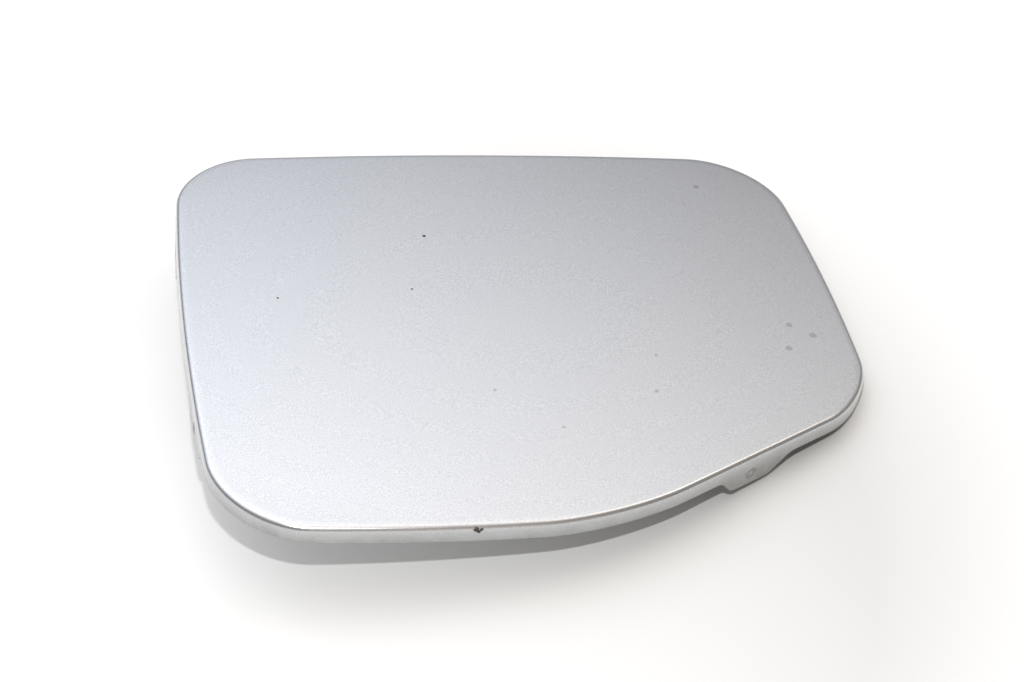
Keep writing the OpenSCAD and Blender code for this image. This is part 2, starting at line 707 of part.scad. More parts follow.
module swept_wire(path, d) {
    n = len(path);
    sides = carry(path, 0, [0.3, 1, 0.2]);
    points = [for (i = [0:n - 1]) let (t = path_dir(path, i), a = sides[i], b = cross(t, a))
        for (k = [0:WIRE_SIDES - 1]) path[i] + (a * cos(360 * k / WIRE_SIDES) + b * sin(360 * k / WIRE_SIDES)) * d / 2];
    polyhedron(points = points, faces = concat(
        [[for (k = [0:WIRE_SIDES - 1]) k]],
        [for (i = [0:n - 2]) for (k = [0:WIRE_SIDES - 1])
            let (a = i * WIRE_SIDES + k, b = i * WIRE_SIDES + (k + 1) % WIRE_SIDES)
            each [[a, a + WIRE_SIDES, b + WIRE_SIDES], [a, b + WIRE_SIDES, b]]],
        [[for (k = [WIRE_SIDES - 1:-1:0]) (n - 1) * WIRE_SIDES + k]]));
}

// Hook in the arm, leg to the underside of the coil, the coil, and the leg down into the bracket
module torsion_spring() {
    turns = 360 * coil_turns + coil_start;
    coil_points = round(COIL_STEPS * turns / 360);
    hook_end = arm_out + hook_proud;
    bend = wire_d;
    leg_dir = unit([coil_r * cos(coil_start) - hook_x, 0, coil_r * sin(coil_start) - hook_z]);
    corner = [hook_x, coil_len / 2, hook_z];
    path = concat(
        [[hook_x, hook_end, hook_z]],
        [for (k = [0:4]) let (a = 90 * k / 4)
            corner + [0, bend * (1 - sin(a)), 0] + leg_dir * bend * (1 - cos(a))],
        [for (k = [0:coil_points]) let (f = k / coil_points, a = coil_start - turns * f)
            [coil_r * cos(a), coil_len * (0.5 - f), coil_r * sin(a)]],
        [[coil_r, -coil_len / 2, -coil_r / 2], [coil_r, -coil_len / 2, base_t / 2 - pivot_height]]);
    color("slategray") at_pin() swept_wire(path, wire_d);
}

module latch_striker() {
    bend_in = 1;
    bend_out = bend_in + striker_t;
    tongue = striker_end - middle_under;
    color("darkgray") on_flap() translate([striker_u, hinge_mid, -middle_under]) difference() {
        side_plate(-striker_w / 2, striker_w) {
            translate([-striker_foot, -striker_t]) square([striker_foot - bend_out, striker_t]);
            translate([-striker_t, -tongue]) square([striker_t, tongue - bend_out]);
            translate([-bend_out, -bend_out]) intersection() {
                difference() {
                    circle(bend_out);
                    circle(bend_in);
                }
                square(bend_out);
            }
        }
        translate([-striker_t - 1, -eye_w / 2, middle_under - eye_top - eye_h]) cube([striker_t + 2, eye_w, eye_h]);
        for (side = [-1, 1]) translate([rivet_u - striker_u, side * rivet_pitch / 2, -striker_t - 1])
            cylinder(h = striker_t + 2, d = rivet_d);
    }
}

module striker_rivets() {
    head = 1.1;
    head_r = rivet_d;
    ball_r = (head_r * head_r + head * head) / (2 * head);
    color("silver") on_flap() for (side = [-1, 1])
        translate([rivet_u, hinge_mid + side * rivet_pitch / 2, -middle_under - striker_t]) {
            cylinder(h = striker_t + panel_t, d = rivet_d);
            translate([0, 0, striker_t + panel_t]) cylinder(h = 1.6, d = rivet_d + 1.4);
            intersection() {
                translate([0, 0, ball_r - head]) sphere(ball_r);
                translate([0, 0, -head]) cylinder(h = head, r = head_r);
            }
        }
}

// A push-in buffer: dome below the panel, neck in its hole and a barbed head above.
// A flap that rests lower leaves room for the dome alone.
module buffer(v) {
    body = dome_depth - middle_under;
    color("black") on_flap() translate([buffer_u, v, -middle_under]) {
        if (body > 0) translate([0, 0, -body]) cylinder(h = body, r1 = dome_r, r2 = buffer_r);
        intersection() {
            translate([0, 0, -body]) sphere(dome_r);
            translate([0, 0, -abs(body) - 2 * dome_r]) cylinder(h = 2 * dome_r + max(-body, 0), r = buffer_r);
        }
        cylinder(h = panel_t + 0.1, d = buffer_neck_d);
        translate([0, 0, panel_t + 0.1]) cylinder(h = 1.7, r1 = buffer_neck_d / 2 + 1, r2 = buffer_neck_d / 2 - 0.8);
    }
}

module front_buffer() {
    buffer(front_buffer_v);
}

module rear_buffer() {
    buffer(rear_buffer_v);
}

outer_skin();
inner_panel();
flutter_pads();
hinge_arm();
arm_studs();
arm_nuts();
front_bush();
rear_bush();
latch_striker();
striker_rivets();
front_buffer();
rear_buffer();
hinge_base();
hinge_pin();
pin_clip();
spring_sleeve();
torsion_spring();
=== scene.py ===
import math
import bmesh
import bpy
from mathutils import Matrix, Vector
from mathutils.noise import noise as mathNoise


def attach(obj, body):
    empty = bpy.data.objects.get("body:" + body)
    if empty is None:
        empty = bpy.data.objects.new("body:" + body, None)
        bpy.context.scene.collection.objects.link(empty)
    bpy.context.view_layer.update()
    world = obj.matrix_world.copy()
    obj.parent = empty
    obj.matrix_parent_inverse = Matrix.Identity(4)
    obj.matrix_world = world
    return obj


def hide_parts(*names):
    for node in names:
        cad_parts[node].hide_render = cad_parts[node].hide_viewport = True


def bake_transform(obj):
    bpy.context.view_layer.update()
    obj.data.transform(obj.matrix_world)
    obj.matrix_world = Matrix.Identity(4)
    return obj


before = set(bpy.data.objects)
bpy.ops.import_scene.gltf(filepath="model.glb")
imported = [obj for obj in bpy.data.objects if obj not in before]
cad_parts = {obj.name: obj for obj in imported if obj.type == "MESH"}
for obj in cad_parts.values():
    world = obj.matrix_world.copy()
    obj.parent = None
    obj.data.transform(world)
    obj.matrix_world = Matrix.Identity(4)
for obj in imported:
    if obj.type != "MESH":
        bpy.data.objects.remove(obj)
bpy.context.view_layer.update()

mm = 0.001
print("scene: frame loaded")

# the flap's own coordinates: u from the hinge edge, v from the front edge, w out of the face, all in mm
flap = {
    "width": 190.0, "length": 157.5, "tilt": 8.0, "hingeInset": 15.0, "hingeMid": 82.0, "pivotDepth": 15.0,
    "pivotX": -22.0, "pivotZ": 18.0, "crownRadiusU": 3500.0, "crownRadiusV": 1500.0,
    "bowHinge": 4.5, "bowFree": 4.6, "bowFront": 8.9, "bowBack": 2.1,
}


def crown(u, v):
    return (-(u - flap["width"] / 2) ** 2 / (2 * flap["crownRadiusU"])
            - (v - flap["length"] / 2) ** 2 / (2 * flap["crownRadiusV"]))


def bowed(u, v):
    fu, fv = u / flap["width"], v / flap["length"]
    return (u + (flap["bowFree"] * fu - flap["bowHinge"] * (1 - fu)) * (1 - (2 * fv - 1) ** 2),
            v + (flap["bowBack"] * fv - flap["bowFront"] * (1 - fv)) * (1 - (2 * fu - 1) ** 2))


tiltAngle = math.radians(flap["tilt"])
flapToFrame = (Matrix.Translation(Vector((flap["pivotX"], 0, flap["pivotZ"])) * mm)
               @ Matrix.Rotation(tiltAngle, 4, "Y")
               @ Matrix.Translation(Vector((-flap["hingeInset"], -flap["hingeMid"], flap["pivotDepth"])) * mm)
               @ Matrix.Scale(mm, 4))


def finishMesh(bm, name, body, material, sharpFrom=40):
    # smooth faces, with a crisp line where they meet at more than sharpFrom degrees
    mesh = bpy.data.meshes.new(name)
    bm.to_mesh(mesh)
    bm.free()
    mesh.shade_smooth()
    mesh.set_sharp_from_angle(angle=math.radians(sharpFrom))
    mesh.materials.append(material)
    obj = bpy.data.objects.new(name, mesh)
    bpy.context.scene.collection.objects.link(obj)
    if body:
        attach(obj, body)
    return obj


def smoothStep(t):
    t = max(0.0, min(1.0, t))
    return t * t * (3 - 2 * t)


def vertsOf(geometry):
    return [g for g in geometry if isinstance(g, bmesh.types.BMVert)]


def loopEdges(bm, loop):
    return [bm.edges.get((vert, loop[(i + 1) % len(loop)])) for i, vert in enumerate(loop)]


def pushLoop(bm, loop, place):
    # extrudes a closed loop of vertices once and puts each new one where place says
    made = set(vertsOf(bmesh.ops.extrude_edge_only(bm, edges=loopEdges(bm, loop))["geom"]))
    new = [next(e.other_vert(v) for e in v.link_edges if e.other_vert(v) in made) for v in loop]
    for i, vert in enumerate(new):
        vert.co = place(i)
    return new


def hexColour(code):
    # sRGB hex to the linear values that the shaders take
    parts = [int(code[i:i + 2], 16) / 255 for i in (1, 3, 5)]
    return tuple(c / 12.92 if c <= 0.04045 else ((c + 0.055) / 1.055) ** 2.4 for c in parts) + (1.0,)


def outputOf(source):
    # a node stands for its first output that is in use
    if isinstance(source, bpy.types.NodeSocket):
        return source
    return next(socket for socket in source.outputs if socket.enabled)


def setNode(mat, node, settings, links):
    # settings are the node's own or its sockets', by name or number, and links are {socket: node or output}
    for key, value in settings.items():
        if isinstance(value, str) and value.startswith("#"):
            value = hexColour(value)
        if isinstance(key, str) and hasattr(node, key):
            setattr(node, key, value)
        else:
            node.inputs[key].default_value = value
    for key, source in links.items():
        mat.node_tree.links.new(outputOf(source), node.inputs[key])
    return node


def addNode(mat, kind, settings=None, links=None, stops=()):
    # a Mix has its factor at 0, values at 2 and 3 and colours at 6 and 7, and a Map Range its value at 0,
    # the range from 1 to 2 and what it becomes at 3 and 4, while stops are a colour ramp's (place, hex)
    node = mat.node_tree.nodes.new("ShaderNode" + kind)
    for i, (place, code) in enumerate(stops):
        elements = node.color_ramp.elements
        element = elements[i] if i < len(elements) else elements.new(place)
        element.position = place
        element.color = hexColour(code)
    return setNode(mat, node, settings or {}, links or {})


noiseSpan = {1: 0.3, 2: 0.7}  # most of a noise lies between these


def newMaterial(name):
    mat = bpy.data.materials.new(name)
    mat.use_nodes = True
    return mat, mat.node_tree.nodes["Principled BSDF"]


def pieceCoords(mat):
    # Object coordinates in mm
    coords = addNode(mat, "TexCoord").outputs["Object"]
    return addNode(mat, "Mapping", {"Scale": (1 / mm, 1 / mm, 1 / mm)}, {"Vector": coords})


def flapCoords(mat):
    # Object coordinates turned into the flap's own u, v and w in mm
    back = flapToFrame.inverted()
    coords = addNode(mat, "TexCoord").outputs["Object"]
    place = {"Location": back.to_translation(), "Rotation": back.to_euler(), "Scale": back.to_scale()}
    return addNode(mat, "Mapping", place, {"Vector": coords})


skin = {
    "sheet": 0.8, "edgeRadius": 1.5, "flange": 5.0, "tabDepth": 10.0,
    # the cut edge, found by its angle in degrees
    "cutRadius": 0.15, "cutSegments": 2, "cutAngle": 60,
    # the corners before the edges are bowed: u, v, radius
    "corners": [
        (flap["bowHinge"], 5.1, 22), (106.3, 9.3, 111), (flap["width"] - flap["bowFree"], 43.5, 25),
        (flap["width"] - flap["bowFree"], flap["length"] - flap["bowBack"], 24),
        (flap["bowHinge"], flap["length"] - flap["bowBack"], 22),
    ],
    # side (by its first corner), middle along it, half flat, shoulder before, shoulder after
    "tabs": [(1, 43.0, 5.0, 6.0, 10.0), (4, 38.3, 6.5, 6.0, 6.0), (4, 110.3, 6.5, 6.0, 6.0)],
    # the weld mark pressed into a tab, and how far along the outline it is cut finer and can be pressed in
    "dimple": {
        "radius": 1.5, "depth": 0.5, "below": 6.2, "fineCuts": 2, "fineReach": 3.2, "pressReach": 3.0,
    },
    # length of the outline's steps, steps round the turned edge and down the flange, and sizes of the
    # inner rings
    "spacing": 1.0, "edgeSegments": 8, "flangeRows": 24,
    "rings": [0.985, 0.96, 0.92, 0.86, 0.78, 0.68, 0.56, 0.42, 0.27, 0.12],
}


def tabFall(side, s):
    # how far the flange has come down to a tab's depth, from 0 to 1, at s along a side
    fall = 0.0
    for tabSide, middle, half, before, after in skin["tabs"]:
        if tabSide == side:
            rising = (s - middle + half + before) / before
            falling = (middle + half + after - s) / after
            fall = max(fall, smoothStep(rising if s < middle else falling))
    return fall


def outlineLoop(bm):
    # five corners joined, each rounded by its own radius, then cut into short steps and bowed
    points = [Vector((u, v, 0)) for u, v, r in skin["corners"]]
    count = len(points)
    sides = [(points[(i + 1) % count] - points[i]).normalized() for i in range(count)]
    face = bm.faces.new([bm.verts.new(p) for p in points])
    for i, vert in enumerate(list(face.verts)):
        turn = sides[i - 1].angle(sides[i])
        radius = skin["corners"][i][2]
        bmesh.ops.bevel(bm, geom=[vert], offset=radius * math.tan(turn / 2), offset_type="OFFSET",
                        affect="VERTICES", segments=max(4, round(radius * turn / skin["spacing"])),
                        profile=0.5, material=-1)
    for edge in list(bm.edges):
        cuts = round(edge.calc_length() / skin["spacing"]) - 1
        if cuts > 1:
            bmesh.ops.subdivide_edges(bm, edges=[edge], cuts=cuts)
    # finer steps along the flat end of each tab, where its weld mark is
    dimple = skin["dimple"]
    for side, middle, half, before, after in skin["tabs"]:
        centre = points[side] + sides[side] * middle
        near = [e for e in bm.edges
                if ((e.verts[0].co + e.verts[1].co) / 2 - centre).length < dimple["fineReach"]]
        bmesh.ops.subdivide_edges(bm, edges=near, cuts=dimple["fineCuts"])
    bm.faces.ensure_lookup_table()
    loop = [l.vert for l in bm.faces[0].loops]
    falls, marks = [], []
    onLine = 0.01
    for vert in loop:
        fall, mark = 0.0, None
        for side in range(count):
            s = (vert.co - points[side]).dot(sides[side])
            off = ((vert.co - points[side]) - sides[side] * s).length
            length = (points[(side + 1) % count] - points[side]).length
            if off < onLine and 0 < s < length:
                fall = tabFall(side, s)
                for tab in skin["tabs"]:
                    if tab[0] == side and abs(s - tab[1]) < dimple["pressReach"]:
                        mark = s - tab[1]
        falls.append(fall)
        marks.append(mark)
    bmesh.ops.delete(bm, geom=[bm.faces[0]], context="FACES_ONLY")
    for vert in loop:
        vert.co.x, vert.co.y = bowed(vert.co.x, vert.co.y)
    return loop, falls, marks


def makeSkin(material):
    bm = bmesh.new()
    loop, falls, marks = outlineLoop(bm)
    count = len(loop)
    rim = [v.co.copy() for v in loop]
    along = [(rim[(i + 1) % count] - rim[i - 1]).normalized() for i in range(count)]
    inward = [Vector((-t.y, t.x, 0)) for t in along]
    r = skin["edgeRadius"]
    middle = Vector((flap["width"] / 2, flap["length"] / 2, 0))

    def onCrown(p, depth):
        return Vector((p.x, p.y, crown(p.x, p.y) - depth))

    # the face: the loop at the top of the turned edge, then smaller and smaller copies of it
    top = [rim[i] + inward[i] * r for i in range(count)]
    for vert, p in zip(loop, top):
        vert.co = onCrown(p, 0)
    ring = loop
    for scale in skin["rings"]:
        ring = pushLoop(bm, ring, lambda i: onCrown(middle + (top[i] - middle) * scale, 0))
    pole = bmesh.ops.contextual_create(bm, geom=loopEdges(bm, ring))
    poked = bmesh.ops.poke(bm, faces=pole["faces"])
    poked["verts"][0].co = onCrown(middle, 0)
    # the turned edge
    ring = loop
    for k in range(1, skin["edgeSegments"] + 1):
        a = math.pi / 2 * k / skin["edgeSegments"]
        inset, drop = r * (1 - math.sin(a)), r * (1 - math.cos(a))
        ring = pushLoop(bm, ring, lambda i: onCrown(rim[i] + inward[i] * inset, drop))
    # the flange, deeper at the tabs and pressed in at their weld marks
    dimple = skin["dimple"]
    ball = (dimple["radius"] ** 2 + dimple["depth"] ** 2) / (2 * dimple["depth"])

    def onFlange(i, f):
        deep = skin["flange"] + (skin["tabDepth"] - skin["flange"]) * falls[i]
        depth = r + (deep - r) * f
        press = 0.0
        if marks[i] is not None:
            away = math.hypot(marks[i], depth - dimple["below"])
            if away < dimple["radius"]:
                press = math.sqrt(ball ** 2 - away ** 2) - (ball - dimple["depth"])
        p = rim[i] + inward[i] * press
        return Vector((p.x, p.y, onCrown(rim[i], depth).z))

    for k in range(1, skin["flangeRows"] + 1):
        ring = pushLoop(bm, ring, lambda i: onFlange(i, k / skin["flangeRows"]))
    bmesh.ops.recalc_face_normals(bm, faces=bm.faces)
    if max(bm.faces, key=lambda f: f.calc_center_median().z).normal.z < 0:
        bmesh.ops.reverse_faces(bm, faces=bm.faces)
    # sheet thickness, inwards, and a slightly rounded cut edge
    bmesh.ops.solidify(bm, geom=bm.faces, thickness=skin["sheet"])
    cutEdges = [e for e in bm.edges if e.calc_face_angle(0) > math.radians(skin["cutAngle"])]
    bmesh.ops.bevel(bm, geom=cutEdges, offset=skin["cutRadius"], offset_type="OFFSET", affect="EDGES",
                    segments=skin["cutSegments"], profile=0.5, material=-1)
    bmesh.ops.transform(bm, matrix=flapToFrame, verts=bm.verts)
    obj = finishMesh(bm, "flapSkin", "flap", material)
    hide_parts("outer_skin")
    print("scene: skin", len(obj.data.polygons), "faces")


wear = {
    # places on the flap (u, v, depth below the face, radius), in mm
    "rustChips": [(67.8, 0.1, 1.0, 0.7), (68.4, 0.0, 1.6, 0.6), (69.2, 0.1, 1.0, 0.45)],
    "darkSpecks": [(72.0, 115.0, 0, 0.55), (64.7, 90.8, 0, 0.35), (26.9, 88.3, 0, 0.33)],
    "faintSpecks": [
        (161.0, 140.0, 0, 1.0), (171.6, 73.6, 0, 0.9), (177.6, 69.2, 0, 1.1), (168.7, 63.7, 0, 1.0),
        (128.9, 61.2, 0, 0.5), (125.7, 46.8, 0, 0.6), (97.0, 33.8, 0, 0.5), (80.9, 48.5, 0, 0.5),
    ],
    # radii of the darker ring round each weld mark and of its lighter middle
    "weldRing": 1.9, "weldCore": 1.0,
    # a spot's border fades between these shares of its radius and is ragged by a share of its own
    "borderFrom": 0.8, "borderTo": 1.15, "borderGrain": 0.71429,
    "ragged": {"faint": 0.25, "dark": 0.2, "chip": 0.28, "ring": 0.12, "core": 0.1},
    # height of the grime and painted shade on the flange, from its first trace to its full strength
    "grimeAndShadeFrom": -2.0, "grimeAndShadeTo": -7.0,
}


def weldPlaces(radius):
    # the middle of each tab's weld mark, on the flange's outer face
    spots = []
    for side, middle, half, before, after in skin["tabs"]:
        here, there = (Vector(skin["corners"][k % 5][:2]) for k in (side, side + 1))
        u, v = bowed(*(here + (there - here).normalized() * middle))
        spots.append((u, v, skin["dimple"]["below"], radius))
    return spots


def spotMask(mat, coords, spots, ragged):
    # 1 inside any spot, each given as (u, v, depth, radius) in mm, with borders that a noise makes ragged
    nearest = None
    for u, v, depth, radius in spots:
        place = (u, v, crown(u, v) - depth)
        away = addNode(mat, "VectorMath", {"operation": "DISTANCE", 1: place}, {0: coords})
        share = addNode(mat, "Math", {"operation": "DIVIDE", 1: radius}, {0: away})
        if nearest:
            nearest = addNode(mat, "Math", {"operation": "MINIMUM"}, {0: nearest, 1: share})
        else:
            nearest = share
    cloud = addNode(mat, "TexNoise", {"Scale": 1 / wear["borderGrain"], "Detail": 3.0}, {"Vector": coords})
    grain = addNode(mat, "MapRange", noiseSpan | {3: -ragged, 4: ragged}, {0: cloud})
    border = addNode(mat, "Math", {"operation": "ADD"}, {0: nearest, 1: grain})
    fade = {1: wear["borderFrom"], 2: wear["borderTo"], 3: 1.0, 4: 0.0}
    return addNode(mat, "MapRange", fade, {0: border})


# Body steel, pressed and sprayed with a silver flake base under clear lacquer: a soft grey sheen with fine
# sparkle, a glassy line along the turned edge, the flap's own rust chip and tar specks, and grime on the
# flange, which is also painted shade that darkens the flange towards its bottom
silver = {
    # sizes in mm, the flakes coarser than real ones so that they show
    "flake": 0.3125, "sheenCloud": 55.556, "grimeAndShadePatch": 8.3333, "rustGrain": 0.90909,
    "pitGrain": 0.625, "pitDepth": 0.12,
    "flakeTones": [(0.3, "#B9BABD"), (0.7, "#D2D3D6")],
    "rustTones": [(0.3, "#2C2A2A"), (0.55, "#453F3C"), (0.75, "#6B5F57")],
    "grimeAndShadeTone": "#90918E", "grimeAndShadeLeast": 0.45, "grimeAndShadeMost": 0.85,
    "ringTone": "#8F8E8D", "faintTone": "#ABAAAA", "darkTone": "#3A3837",
    "metallic": 0.88, "smoothest": 0.2, "roughest": 0.25, "grimeRoughness": 0.5, "rustRoughness": 0.85,
    "coat": 0.8, "grimeCoat": 0.35, "coatRoughness": 0.1,
}


def lacqueredSilverPaint():
    mat, shader = newMaterial("lacqueredSilverPaint")
    coords = flapCoords(mat)
    grain = addNode(mat, "TexNoise", {"Scale": 1 / silver["flake"], "Detail": 2.0}, {"Vector": coords})
    flakes = addNode(mat, "ValToRGB", links={0: grain}, stops=silver["flakeTones"])
    # grime and painted shade: the flange turns darker, in patches, towards its bottom, and duller there
    height = addNode(mat, "SeparateXYZ", links={0: coords}).outputs["Z"]
    low = addNode(mat, "MapRange", {1: wear["grimeAndShadeFrom"], 2: wear["grimeAndShadeTo"], 3: 0.0, 4: 1.0}, {0: height})
    cloud = addNode(mat, "TexNoise", {"Scale": 1 / silver["grimeAndShadePatch"], "Detail": 5.0, "Roughness": 0.65},
                    {"Vector": coords})
    patch = addNode(mat, "MapRange", noiseSpan | {3: silver["grimeAndShadeLeast"], 4: silver["grimeAndShadeMost"]},
                    {0: cloud})
    grimeAndShade = addNode(mat, "Math", {"operation": "MULTIPLY"}, {0: low, 1: patch})
    ragged = wear["ragged"]
    faint = spotMask(mat, coords, wear["faintSpecks"], ragged["faint"])
    dark = spotMask(mat, coords, wear["darkSpecks"], ragged["dark"])
    chip = spotMask(mat, coords, wear["rustChips"], ragged["chip"])
    # the weld marks have a darker, duller ring round a lighter middle
    outerRing = spotMask(mat, coords, weldPlaces(wear["weldRing"]), ragged["ring"])
    core = spotMask(mat, coords, weldPlaces(wear["weldCore"]), ragged["core"])
    ring = addNode(mat, "Math", {"operation": "SUBTRACT", "use_clamp": True}, {0: outerRing, 1: core})
    crust = addNode(mat, "TexNoise", {"Scale": 1 / silver["rustGrain"], "Detail": 5.0, "Roughness": 0.7},
                    {"Vector": coords})
    rust = addNode(mat, "ValToRGB", links={0: crust}, stops=silver["rustTones"])
    colour = addNode(mat, "Mix", {"data_type": "RGBA", 7: silver["grimeAndShadeTone"]}, {0: grimeAndShade, 6: flakes})
    colour = addNode(mat, "Mix", {"data_type": "RGBA", 7: silver["ringTone"]}, {0: ring, 6: colour})
    colour = addNode(mat, "Mix", {"data_type": "RGBA", 7: silver["faintTone"]}, {0: faint, 6: colour})
    colour = addNode(mat, "Mix", {"data_type": "RGBA", 7: silver["darkTone"]}, {0: dark, 6: colour})
    colour = addNode(mat, "Mix", {"data_type": "RGBA"}, {0: chip, 6: colour, 7: rust})
    bare = addNode(mat, "Math", {"operation": "MAXIMUM"}, {0: chip, 1: dark})
    metallic = addNode(mat, "Mix", {2: silver["metallic"], 3: 0.0}, {0: bare})
    drift = addNode(mat, "TexNoise", {"Scale": 1 / silver["sheenCloud"], "Detail": 3.0}, {"Vector": coords})
    satin = addNode(mat, "MapRange", noiseSpan | {3: silver["smoothest"], 4: silver["roughest"]},
                    {0: drift})
    dulled = addNode(mat, "Mix", {3: silver["grimeRoughness"]}, {0: grimeAndShade, 2: satin})
    roughness = addNode(mat, "Mix", {3: silver["rustRoughness"]}, {0: bare, 2: dulled})
    lacquer = addNode(mat, "Mix", {2: silver["coat"], 3: silver["grimeCoat"]}, {0: grimeAndShade})
    coat = addNode(mat, "Mix", {3: 0.0}, {0: bare, 2: lacquer})
    # the chip is a shallow pit
    pitted = addNode(mat, "TexNoise", {"Scale": 1 / silver["pitGrain"], "Detail": 3.0}, {"Vector": coords})
    bottom = addNode(mat, "MapRange", noiseSpan | {3: 0.0, 4: 0.5}, {0: pitted})
    level = addNode(mat, "Mix", {2: 1.0}, {0: chip, 3: bottom})
    bump = addNode(mat, "Bump", {"Distance": silver["pitDepth"] * mm}, {"Height": level})
    setNode(mat, shader, {"Coat Roughness": silver["coatRoughness"]},
            {"Base Color": colour, "Metallic": metallic, "Roughness": roughness, "Coat Weight": coat,
             "Normal": bump})
    return mat


# The same silver, fogged on thinly over grey dip primer: duller, grainy, darker in patches, with road dust
fogged = {
    # sizes in mm, the flakes coarser than real ones so that they show
    "patch": 28.571, "dust": 2.5, "flake": 0.45455, "peel": 1.4286, "peelDepth": 0.03,
    "flakeTones": [(0.3, "#A9ACB0"), (0.7, "#BEC0C3")], "thinTone": "#94979A",
    "dustTone": "#8B857A", "dustMost": 0.45,
    "metallic": 0.6, "dustMetallic": 0.1, "roughness": 0.46, "dustRoughness": 0.75,
}


def thinSilverPaint():
    mat, shader = newMaterial("thinSilverOverPrimer")
    coords = flapCoords(mat)
    cloud = addNode(mat, "TexNoise", {"Scale": 1 / fogged["patch"], "Detail": 5.0, "Roughness": 0.65},
                    {"Vector": coords})
    thin = addNode(mat, "MapRange", noiseSpan | {3: 0.0, 4: 1.0}, {0: cloud})
    specks = addNode(mat, "TexNoise", {"Scale": 1 / fogged["dust"], "Detail": 6.0, "Roughness": 0.75},
                     {"Vector": coords})
    dust = addNode(mat, "MapRange", {1: 0.45, 2: 0.8, 3: 0.0, 4: fogged["dustMost"]}, {0: specks})
    grain = addNode(mat, "TexNoise", {"Scale": 1 / fogged["flake"], "Detail": 2.0}, {"Vector": coords})
    flakes = addNode(mat, "ValToRGB", links={0: grain}, stops=fogged["flakeTones"])
    colour = addNode(mat, "Mix", {"data_type": "RGBA", 7: fogged["thinTone"]}, {0: thin, 6: flakes})
    colour = addNode(mat, "Mix", {"data_type": "RGBA", 7: fogged["dustTone"]}, {0: dust, 6: colour})
    metallic = addNode(mat, "Mix", {2: fogged["metallic"], 3: fogged["dustMetallic"]}, {0: dust})
    roughness = addNode(mat, "Mix", {2: fogged["roughness"], 3: fogged["dustRoughness"]}, {0: dust})
    # orange peel
    peel = addNode(mat, "TexNoise", {"Scale": 1 / fogged["peel"], "Detail": 2.0}, {"Vector": coords})
    bump = addNode(mat, "Bump", {"Distance": fogged["peelDepth"] * mm}, {"Height": peel})
    setNode(mat, shader, {},
            {"Base Color": colour, "Metallic": metallic, "Roughness": roughness, "Normal": bump})
    return mat


# Anti-flutter paste, foamed and cured from a nozzle: dark, dull and pitted with small pores
foam = {
    # sizes in mm
    "pore": 0.90909, "poreDepth": 0.25, "cloud": 1.6667,
    "tones": [(0.3, "#3E3E40"), (0.7, "#545456")], "roughness": 0.9,
}


def curedPaste():
    mat, shader = newMaterial("curedFoamPaste")
    coords = flapCoords(mat)
    pores = addNode(mat, "TexVoronoi", {"Scale": 1 / foam["pore"]}, {"Vector": coords})
    walls = addNode(mat, "MapRange", {1: 0.05, 2: 0.35, 3: 0.0, 4: 1.0}, {0: pores})
    cloud = addNode(mat, "TexNoise", {"Scale": 1 / foam["cloud"], "Detail": 4.0}, {"Vector": coords})
    tone = addNode(mat, "ValToRGB", links={0: cloud}, stops=foam["tones"])
    bump = addNode(mat, "Bump", {"Distance": foam["poreDepth"] * mm}, {"Height": walls})
    setNode(mat, shader, {"Roughness": foam["roughness"]}, {"Base Color": tone, "Normal": bump})
    return mat


# Pressed strip, zinc plated in a barrel and passivated clear: cool grey with a mottled sheen, white bloom
# where the plating has dulled, and brown stains in places
barrel = {
    # sizes in mm, the grain coarser than real plating's so that it shows
    "mottle": 2.8571, "bloom": 8.3333, "stain": 11.111, "grain": 0.66667, "grainDepth": 0.012,
    "tones": [(0.3, "#A3A8AF"), (0.55, "#B9BDC2"), (0.8, "#C6C8C9")],
    "bloomTone": "#CDCCC6", "bloomMost": 0.6, "stainTone": "#8A7763", "stainMost": 0.5,
    "bloomMetallic": 0.55, "smoothest": 0.3, "roughest": 0.42, "bloomRoughness": 0.68,
}


def barrelZinc():
    mat, shader = newMaterial("clearPassivatedZinc")
    coords = pieceCoords(mat)
    mottle = addNode(mat, "TexNoise", {"Scale": 1 / barrel["mottle"], "Detail": 5.0, "Roughness": 0.65},
                     {"Vector": coords})
    tone = addNode(mat, "ValToRGB", links={0: mottle}, stops=barrel["tones"])
    cloud = addNode(mat, "TexNoise", {"Scale": 1 / barrel["bloom"], "Detail": 6.0, "Roughness": 0.7},
                    {"Vector": coords})
    bloom = addNode(mat, "MapRange", {1: 0.56, 2: 0.72, 3: 0.0, 4: barrel["bloomMost"]}, {0: cloud})
    brown = addNode(mat, "TexNoise", {"Scale": 1 / barrel["stain"], "Detail": 5.0, "Roughness": 0.7},
                    {"Vector": coords})
    stain = addNode(mat, "MapRange", {1: 0.62, 2: 0.75, 3: 0.0, 4: barrel["stainMost"]}, {0: brown})
    colour = addNode(mat, "Mix", {"data_type": "RGBA", 7: barrel["bloomTone"]}, {0: bloom, 6: tone})
    colour = addNode(mat, "Mix", {"data_type": "RGBA", 7: barrel["stainTone"]}, {0: stain, 6: colour})
    metallic = addNode(mat, "Mix", {2: 1.0, 3: barrel["bloomMetallic"]}, {0: bloom})
    sheen = addNode(mat, "MapRange", noiseSpan | {3: barrel["smoothest"], 4: barrel["roughest"]},
                    {0: mottle})
    roughness = addNode(mat, "Mix", {3: barrel["bloomRoughness"]}, {0: bloom, 2: sheen})
    grain = addNode(mat, "TexNoise", {"Scale": 1 / barrel["grain"], "Detail": 3.0}, {"Vector": coords})
    bump = addNode(mat, "Bump", {"Distance": barrel["grainDepth"] * mm}, {"Height": grain})
    setNode(mat, shader, {},
            {"Base Color": colour, "Metallic": metallic, "Roughness": roughness, "Normal": bump})
    return mat


# Fasteners, zinc plated and passivated yellow: gold with pink and green clouds, dulled on the crests
gilt = {
    # sizes in mm, the grain coarser than real plating's so that it shows
    "cloud": 3.8462, "dulling": 1.1111, "grain": 0.45455, "grainDepth": 0.01,
    "tones": [(0.3, "#B98F4B"), (0.45, "#C7A95E"), (0.6, "#B4AE72"), (0.75, "#B9867A")],
    "smoothest": 0.28, "roughest": 0.46,
}


